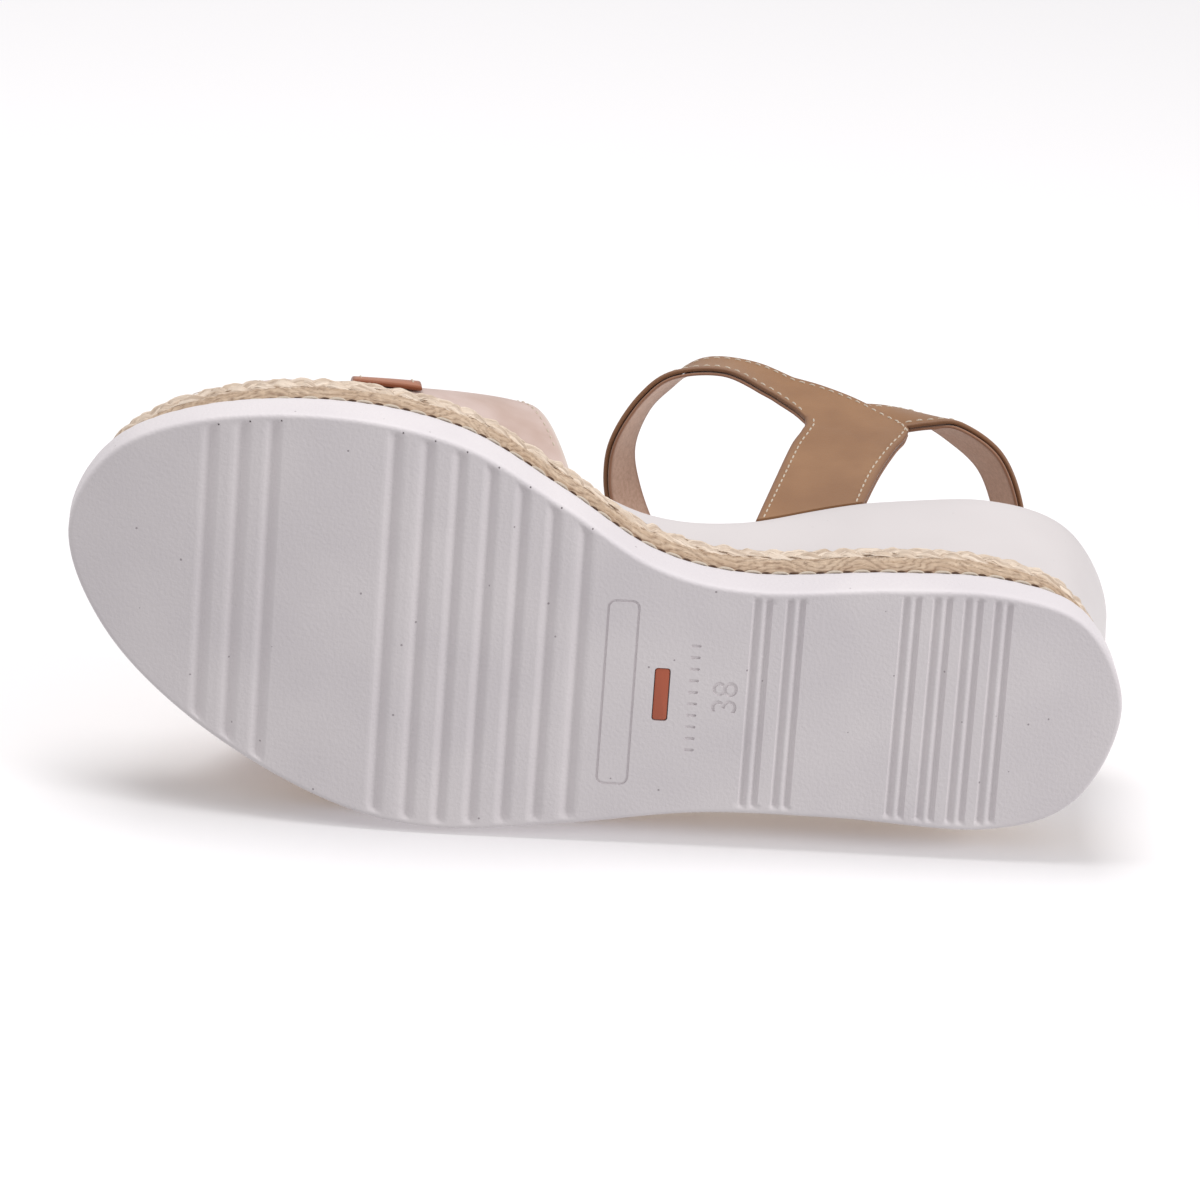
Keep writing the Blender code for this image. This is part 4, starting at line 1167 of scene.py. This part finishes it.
def vamp_point(x, u):
    """Arch at station x; u runs 0 to 1 from the medial to the lateral side."""
    medial, lateral = width_at(raised(footbed_inset, 0.9), x)
    turn = np.pi * u
    reach = np.sign(np.cos(turn)) * np.abs(np.cos(turn)) ** (2 / VAMP_FULLNESS)
    lift = np.abs(np.sin(turn)) ** (2 / VAMP_FULLNESS)
    lean = np.where(u < 0.5, MEDIAL_SWELL(x), LATERAL_SWELL)
    swell = 1 + lean * np.sin(turn) * np.abs(np.cos(turn)) * 2
    y = (medial + lateral) / 2 - (lateral - medial) / 2 * reach * swell
    return np.stack([x, y, deck_z(x) + GAP + VAMP_CROWN(x) * lift], axis=-1)


def vamp_grid(columns, rows, u_range=(0.0, 1.0), x_range=None):
    """The whole vamp, or the strip of it between two stations."""
    u = np.linspace(*u_range, columns)[:, None] * np.ones((1, rows))
    v = np.linspace(0, 1, rows)[None, :] * np.ones((columns, 1))
    ends = (VAMP_FRONT(u), VAMP_REAR(u)) if x_range is None else x_range
    return vamp_point(ends[0] * (1 - v) + ends[1] * v, u)


def make_vamp():
    """Outer leather, lining and a seam along the front and the rear edge."""
    grid = vamp_grid(161, 61)
    lined_sheet("vamp", grid, NUDE, "vamp_leather", "vamp_lining", (False, False, True, True))
    for side in ("low", "high"):
        seam("vamp_seam_" + side, grid[6:-6], side, 2.6, "shoe")


make_vamp()
print("vamp crown at the strap:", np.round(vamp_point(np.array(-53.5), np.array(0.5)), 1))

# %% [markdown]
# The cognac strap lies over the vamp and swings open round its lower end on the outer side. It is
# one thickness of firm leather with painted edges. A hook tape under its tip meets a loop tape on
# the vamp.

# %% Vamp strap and its fastener
PATCH_LEVEL, STRAP_LEVEL, STRAP_THICKNESS = LEATHER + 0.02, LEATHER + 0.45, 1.25


def make_vamp_strap():
    """Strap over the vamp, with a seam along each side, and the two tapes under its tip."""
    grid = vamp_grid(161, 21, (0.08, 0.965), VAMP_STRAP_X)
    sheet("vamp_strap_leather", grid, STRAP_LEVEL, STRAP_LEVEL + STRAP_THICKNESS, COGNAC, "vamp_strap",
          ["vamp_strap"], edge_width=0.7)
    for side in ("low", "high"):
        seam("vamp_strap_seam_" + side, grid[4:-4], side, 2.2, "vamp_strap",
             STRAP_LEVEL + STRAP_THICKNESS)
    tape = vamp_grid(41, 21, (0.1, 0.24), (VAMP_STRAP_X[0] + 1.5, VAMP_STRAP_X[1] - 1.5))
    sheet("vamp_loop_patch", tape, PATCH_LEVEL, PATCH_LEVEL + 0.18, TAPE, "shoe", ["vamp_loop_tape"])
    sheet("vamp_hook_patch", tape, PATCH_LEVEL + 0.22, PATCH_LEVEL + 0.4, TAPE, "vamp_strap",
          ["vamp_hook_tape"])


make_vamp_strap()
print("vamp strap lies", STRAP_LEVEL, "mm over the vamp's inner face")

# %% [markdown]
# The ankle straps. The medial quarter and the instep strap are one piece of leather that bends at
# the hinge, so the band along the quarter's top belongs to the strap's piece. The lower quarter
# meets that piece edge to edge.

# %% Curves of the quarters and straps
MEDIAL_TOP = [(53.0, -25.0, 130), (60, -24.3, 127), (68, -23.4, 121.2), (75.8, -22.1, 113.6),
              (79.5, -21.8, 109.3), (81.3, -21.3, 103.8)]
CORNER = (55.0, -21.6, 108.0)
INSTEP_LOWER = [CORNER, (52.8, -22.4, 112.2), (49.5, -23.4, 116.0), (45.5, -24.6, 119.8),
                (35, -27.0, 127.2), (22, -25, 129.5), (14.3, -18.8, 129), (8.2, -9, 127),
                (6.4, 0, 126), (8, 10, 124), (15, 22, 121), (26, 34.5, 117), (38, 44.5, 113),
                (52, 50.0, 109), (68, 50.8, 106.5)]
INSTEP_UPPER = [MEDIAL_TOP[0], (44, -26.2, 137.0), (34.5, -26.2, 140.3), (28, -24.2, 141),
                (22, -18.6, 140.7), (16.4, -12, 140), (13.3, -2, 139), (15.2, 8, 137.5),
                (20.6, 20, 135.5), (29.8, 32, 132.5), (40.5, 41.5, 129), (53.5, 47.4, 125),
                (66, 48.2, 121.5)]
HEEL_LOWER = [(79, -21.0, 106), (87, -23.2, 104.6), (94.5, -24, 103.2), (104.8, -17.8, 100.4),
              (110.8, -5, 99), (112.5, 10, 98), (110, 25, 98.5), (103, 37, 100), (94, 43, 102.5),
              (86, 44, 104.6), (78, 43.3, 106.5)]
HEEL_UPPER = [(69, -22.4, 119.6), (76, -22.2, 119.4), (84, -20.8, 118.6), (92.5, -16.6, 117),
              (101.3, -9.6, 115.2), (106.2, 1, 113.5), (108.8, 12, 112.5), (106.5, 24, 113.5),
              (99, 34.5, 115.5), (89, 39.8, 118), (79, 41, 118.8), (69, 40.6, 119.5)]
LATERAL_TOP = [(53.0, 41.5, 126), (60, 42, 124), (68, 42.5, 120), (76, 43.5, 114), (82, 44.5, 107)]


def patch(lower, upper, columns, rows, start=None, finish=None):
    """Surface between two edge curves; curved side edges make it a Coons patch."""
    low, high = spline(lower, columns), spline(upper, columns)
    v = np.linspace(0, 1, rows)[None, :, None]
    u = np.linspace(0, 1, columns)[:, None, None]
    grid = low[:, None] * (1 - v) + high[:, None] * v
    if start is not None:
        first, last = spline(start, rows)[None], spline(finish, rows)[None]
        corners = ((low[0] * (1 - v) + high[0] * v) * (1 - u)
                   + (low[-1] * (1 - v) + high[-1] * v) * u)
        grid = grid + first * (1 - u) + last * u - corners
    return grid


def deck_point(x, side):
    """Where an upper lands on the deck; side 0 is medial and 1 is lateral."""
    return (x, float(width_at(raised(footbed_inset, 0.9), x)[side]), float(deck_z(x)) + GAP)


def blend_over_hinge(piece):
    """Work out the direction across the hinge line, and bake the piece's transform into its mesh."""
    across = np.array([-1.0, 0.5, 0.096])
    across /= np.linalg.norm(across)
    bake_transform(piece)


# %% Medial quarter and instep strap
def medial_grids():
    """Lower quarter, and the strap with the top band of the quarter at its head."""
    base = [deck_point(x, 0) for x in (40, 49, 58, 67.5)]
    front = [base[0], (45, -16.5, 70), (50.6, -19.5, 92), (53.8, -20.8, 101), CORNER, MEDIAL_TOP[0]]
    rear = [base[-1], (72.4, -18.6, 78), (77.0, -20.5, 91), (79.9, -21.0, 98), MEDIAL_TOP[-1]]
    whole = patch(base, MEDIAL_TOP, 61, 91, front, rear)
    split = int(np.argmin(np.linalg.norm(whole[0] - np.array(CORNER), axis=1)))
    columns, blended = 171, 18
    strap = patch(INSTEP_LOWER, INSTEP_UPPER, columns, 91 - split)
    fade = np.clip(1 - np.arange(columns) / blended, 0, 1)[:, None, None] ** 2
    strap = strap + (whole[0, split:] - strap[0]) * fade
    return whole[:, :split + 1], np.concatenate([whole[::-1, split:], strap[1:]]), strap


def make_medial_side():
    """Leather, lining and seams of the quarter and of the strap that runs on from its top."""
    quarter, ring, strap = medial_grids()
    corner = quarter[0, -1]
    sides = (True, True, False, False)
    for name, inner, outer, material, lower, upper in (
            ("upper", 0.0, LEATHER, BROWN, "medial_quarter", "instep_strap"),
            ("inside", LINING_LEVEL, -GAP, LINING, "medial_quarter_lining", "instep_strap_lining")):
        sheet("medial_quarter_" + name, quarter, inner, outer, material, "shoe", [lower], sides)
        blend_over_hinge(sheet("instep_strap_" + name, ring, inner, outer, material, None, [upper],
                               corner=corner))
    for name, side in (("front", "start"), ("rear", "end")):
        seam("quarter_seam_" + name, quarter, side, 2.1, "shoe")
    for name, part, side in (("upper", ring, "high"), ("lower", strap[1:], "low"),
                             ("rear", ring[:, :-2], "start")):
        blend_over_hinge(seam("strap_seam_" + name, part, side, 2.1, None))
    return ring


RING = make_medial_side()
print("instep strap runs", round(float(run_length(RING[:, 8])[-1]), 1), "mm")

# %% Heel strap and lateral quarter
def make_heel_strap():
    """Strap round the back of the ankle with its lining and seams."""
    grid = patch(HEEL_LOWER, HEEL_UPPER, 121, 17)
    lined_sheet("heel_strap", grid, BROWN, "heel_strap", "heel_strap_lining")
    for side in ("low", "high"):
        seam("heel_strap_seam_" + side, grid, side, 2.2, "shoe")


def make_lateral_side():
    """Outer quarter, the medial one's counterpart."""
    base = [deck_point(x, 1) for x in (42, 52, 62, 72)]
    front = [base[0], (46, 45, 72), (50, 45.5, 92), (53.0, 45, 108), LATERAL_TOP[0]]
    rear = [base[-1], (76, 45, 80), (80, 45.5, 93), (82, 45.3, 102), LATERAL_TOP[-1]]
    grid = patch(base, LATERAL_TOP, 41, 61, front, rear)
    lined_sheet("lateral_quarter", grid, BROWN, "lateral_quarter", "lateral_quarter_lining")
    for name, side in (("front", "start"), ("rear", "end")):
        seam("lateral_seam_" + name, grid, side, 2.2, "shoe")


make_heel_strap()
make_lateral_side()
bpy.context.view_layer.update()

# %% [markdown]
# The pieces that need no new shape keep their solids and take a finish: the foam core, the board,
# the steel shank and the fastener tapes.

# %% Finishes for the solids that stay
for node_name, finish in (("platform_core", FOAM), ("insole_board", BOARD), ("shank", STEEL),
                          ("ankle_loop_tape", TAPE), ("ankle_hook_tape", TAPE)):
    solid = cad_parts[node_name]
    solid.data.materials.clear()
    solid.data.materials.append(finish)
    print(node_name, "takes", finish.name)

# %% [markdown]
# The stage: the sandal keeps its standing place, and a pale floor stands beside its outer side, so
# that from the camera the sandal lies on its side. The floor is clear from behind and lets light
# pass, so it only shows what the camera sees and the shadows on it. Big soft lights and an even sky
# light every side.

# %% Stage, light and camera
def make_floor():
    """A pale plane just outside the lateral rim, seen only from the sandal's side."""
    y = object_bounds()[1][1] + 0.0004
    size = 6.0
    mesh = bpy.data.meshes.new("floor")
    mesh.from_pydata([(-size, y, -size), (size, y, -size), (size, y, size), (-size, y, size)], [],
                     [(0, 1, 2, 3)])
    floor = bpy.data.objects.new("floor", mesh)
    bpy.context.scene.collection.objects.link(floor)
    material, tree, shader = new_material("floor_pale", 0.85)
    shader.inputs["Base Color"].default_value = (0.97, 0.96, 0.97, 1)
    shader.inputs["Specular IOR Level"].default_value = 0.1
    facing, clear = node(tree, 'ShaderNodeNewGeometry'), node(tree, 'ShaderNodeBsdfTransparent')
    rays = node(tree, 'ShaderNodeLightPath')
    light_rays = math_node(tree, 'MAXIMUM', rays.outputs["Is Shadow Ray"],
                           rays.outputs["Is Diffuse Ray"])
    passes = math_node(tree, 'MAXIMUM', facing.outputs["Backfacing"], light_rays)
    choose, out = node(tree, 'ShaderNodeMixShader'), tree.nodes["Material Output"]
    tree.links.new(passes, choose.inputs[0])
    tree.links.new(shader.outputs[0], choose.inputs[1])
    tree.links.new(clear.outputs[0], choose.inputs[2])
    tree.links.new(choose.outputs[0], out.inputs["Surface"])
    mesh.materials.append(material)


def add_light(name, place, target, size, watts):
    """A soft square light aimed at a point."""
    lamp = bpy.data.lights.new(name, 'AREA')
    lamp.shape, lamp.size, lamp.energy = 'SQUARE', size, watts
    light = bpy.data.objects.new(name, lamp)
    light.location = place
    aim = Vector(target) - Vector(place)
    light.rotation_euler = aim.to_track_quat('-Z', 'Y').to_euler()
    bpy.context.scene.collection.objects.link(light)


def add_camera():
    """Camera below and on the medial side, rolled three degrees, as a matrix of its own axes."""
    theta, turn, roll = (math.radians(v) for v in (20.0, 3.0, 3.0))
    distance, aside, above = 1.8, 0.00069, 0.00896
    back = Vector((-math.sin(turn), -math.sin(theta) * math.cos(turn),
                   -math.cos(theta) * math.cos(turn)))
    level = (Vector((1, 0, 0)) - back * back.x).normalized()
    high = back.cross(level)
    right = level * math.cos(roll) + high * math.sin(roll)
    up = high * math.cos(roll) - level * math.sin(roll)
    centre = Vector(SHIFT) * MM
    place = centre + back * distance + right * aside + up * above
    lens = bpy.data.cameras.new("camera")
    lens.lens, lens.sensor_width = 223.2, 36.0
    camera = bpy.data.objects.new("camera", lens)
    camera.matrix_world = Matrix((right, up, back)).transposed().to_4x4()
    camera.location = place
    bpy.context.scene.collection.objects.link(camera)
    bpy.context.scene.camera = camera


def set_sky():
    """Even pale light from everywhere."""
    world = bpy.data.worlds.new("sky")
    world.use_nodes = True
    backdrop = world.node_tree.nodes["Background"]
    backdrop.inputs["Color"].default_value = (1.0, 0.985, 0.99, 1)
    backdrop.inputs["Strength"].default_value = 0.6
    bpy.context.scene.world = world


make_floor()
add_light("key_above", (-0.15, -1.3, 0.1), (0, 0, 0.03), 0.8, 10.0)
add_light("side_low", (1.25, -0.5, -0.55), (0, 0, 0.0), 0.5, 7.0)
add_light("fill_back", (0.5, 0.9, 1.1), (0, 0, 0.05), 1.0, 5.0)
add_camera()
set_sky()
bpy.context.scene.view_settings.view_transform = 'Standard'
print("stage has a floor,", len(bpy.data.lights), "lights and a camera")
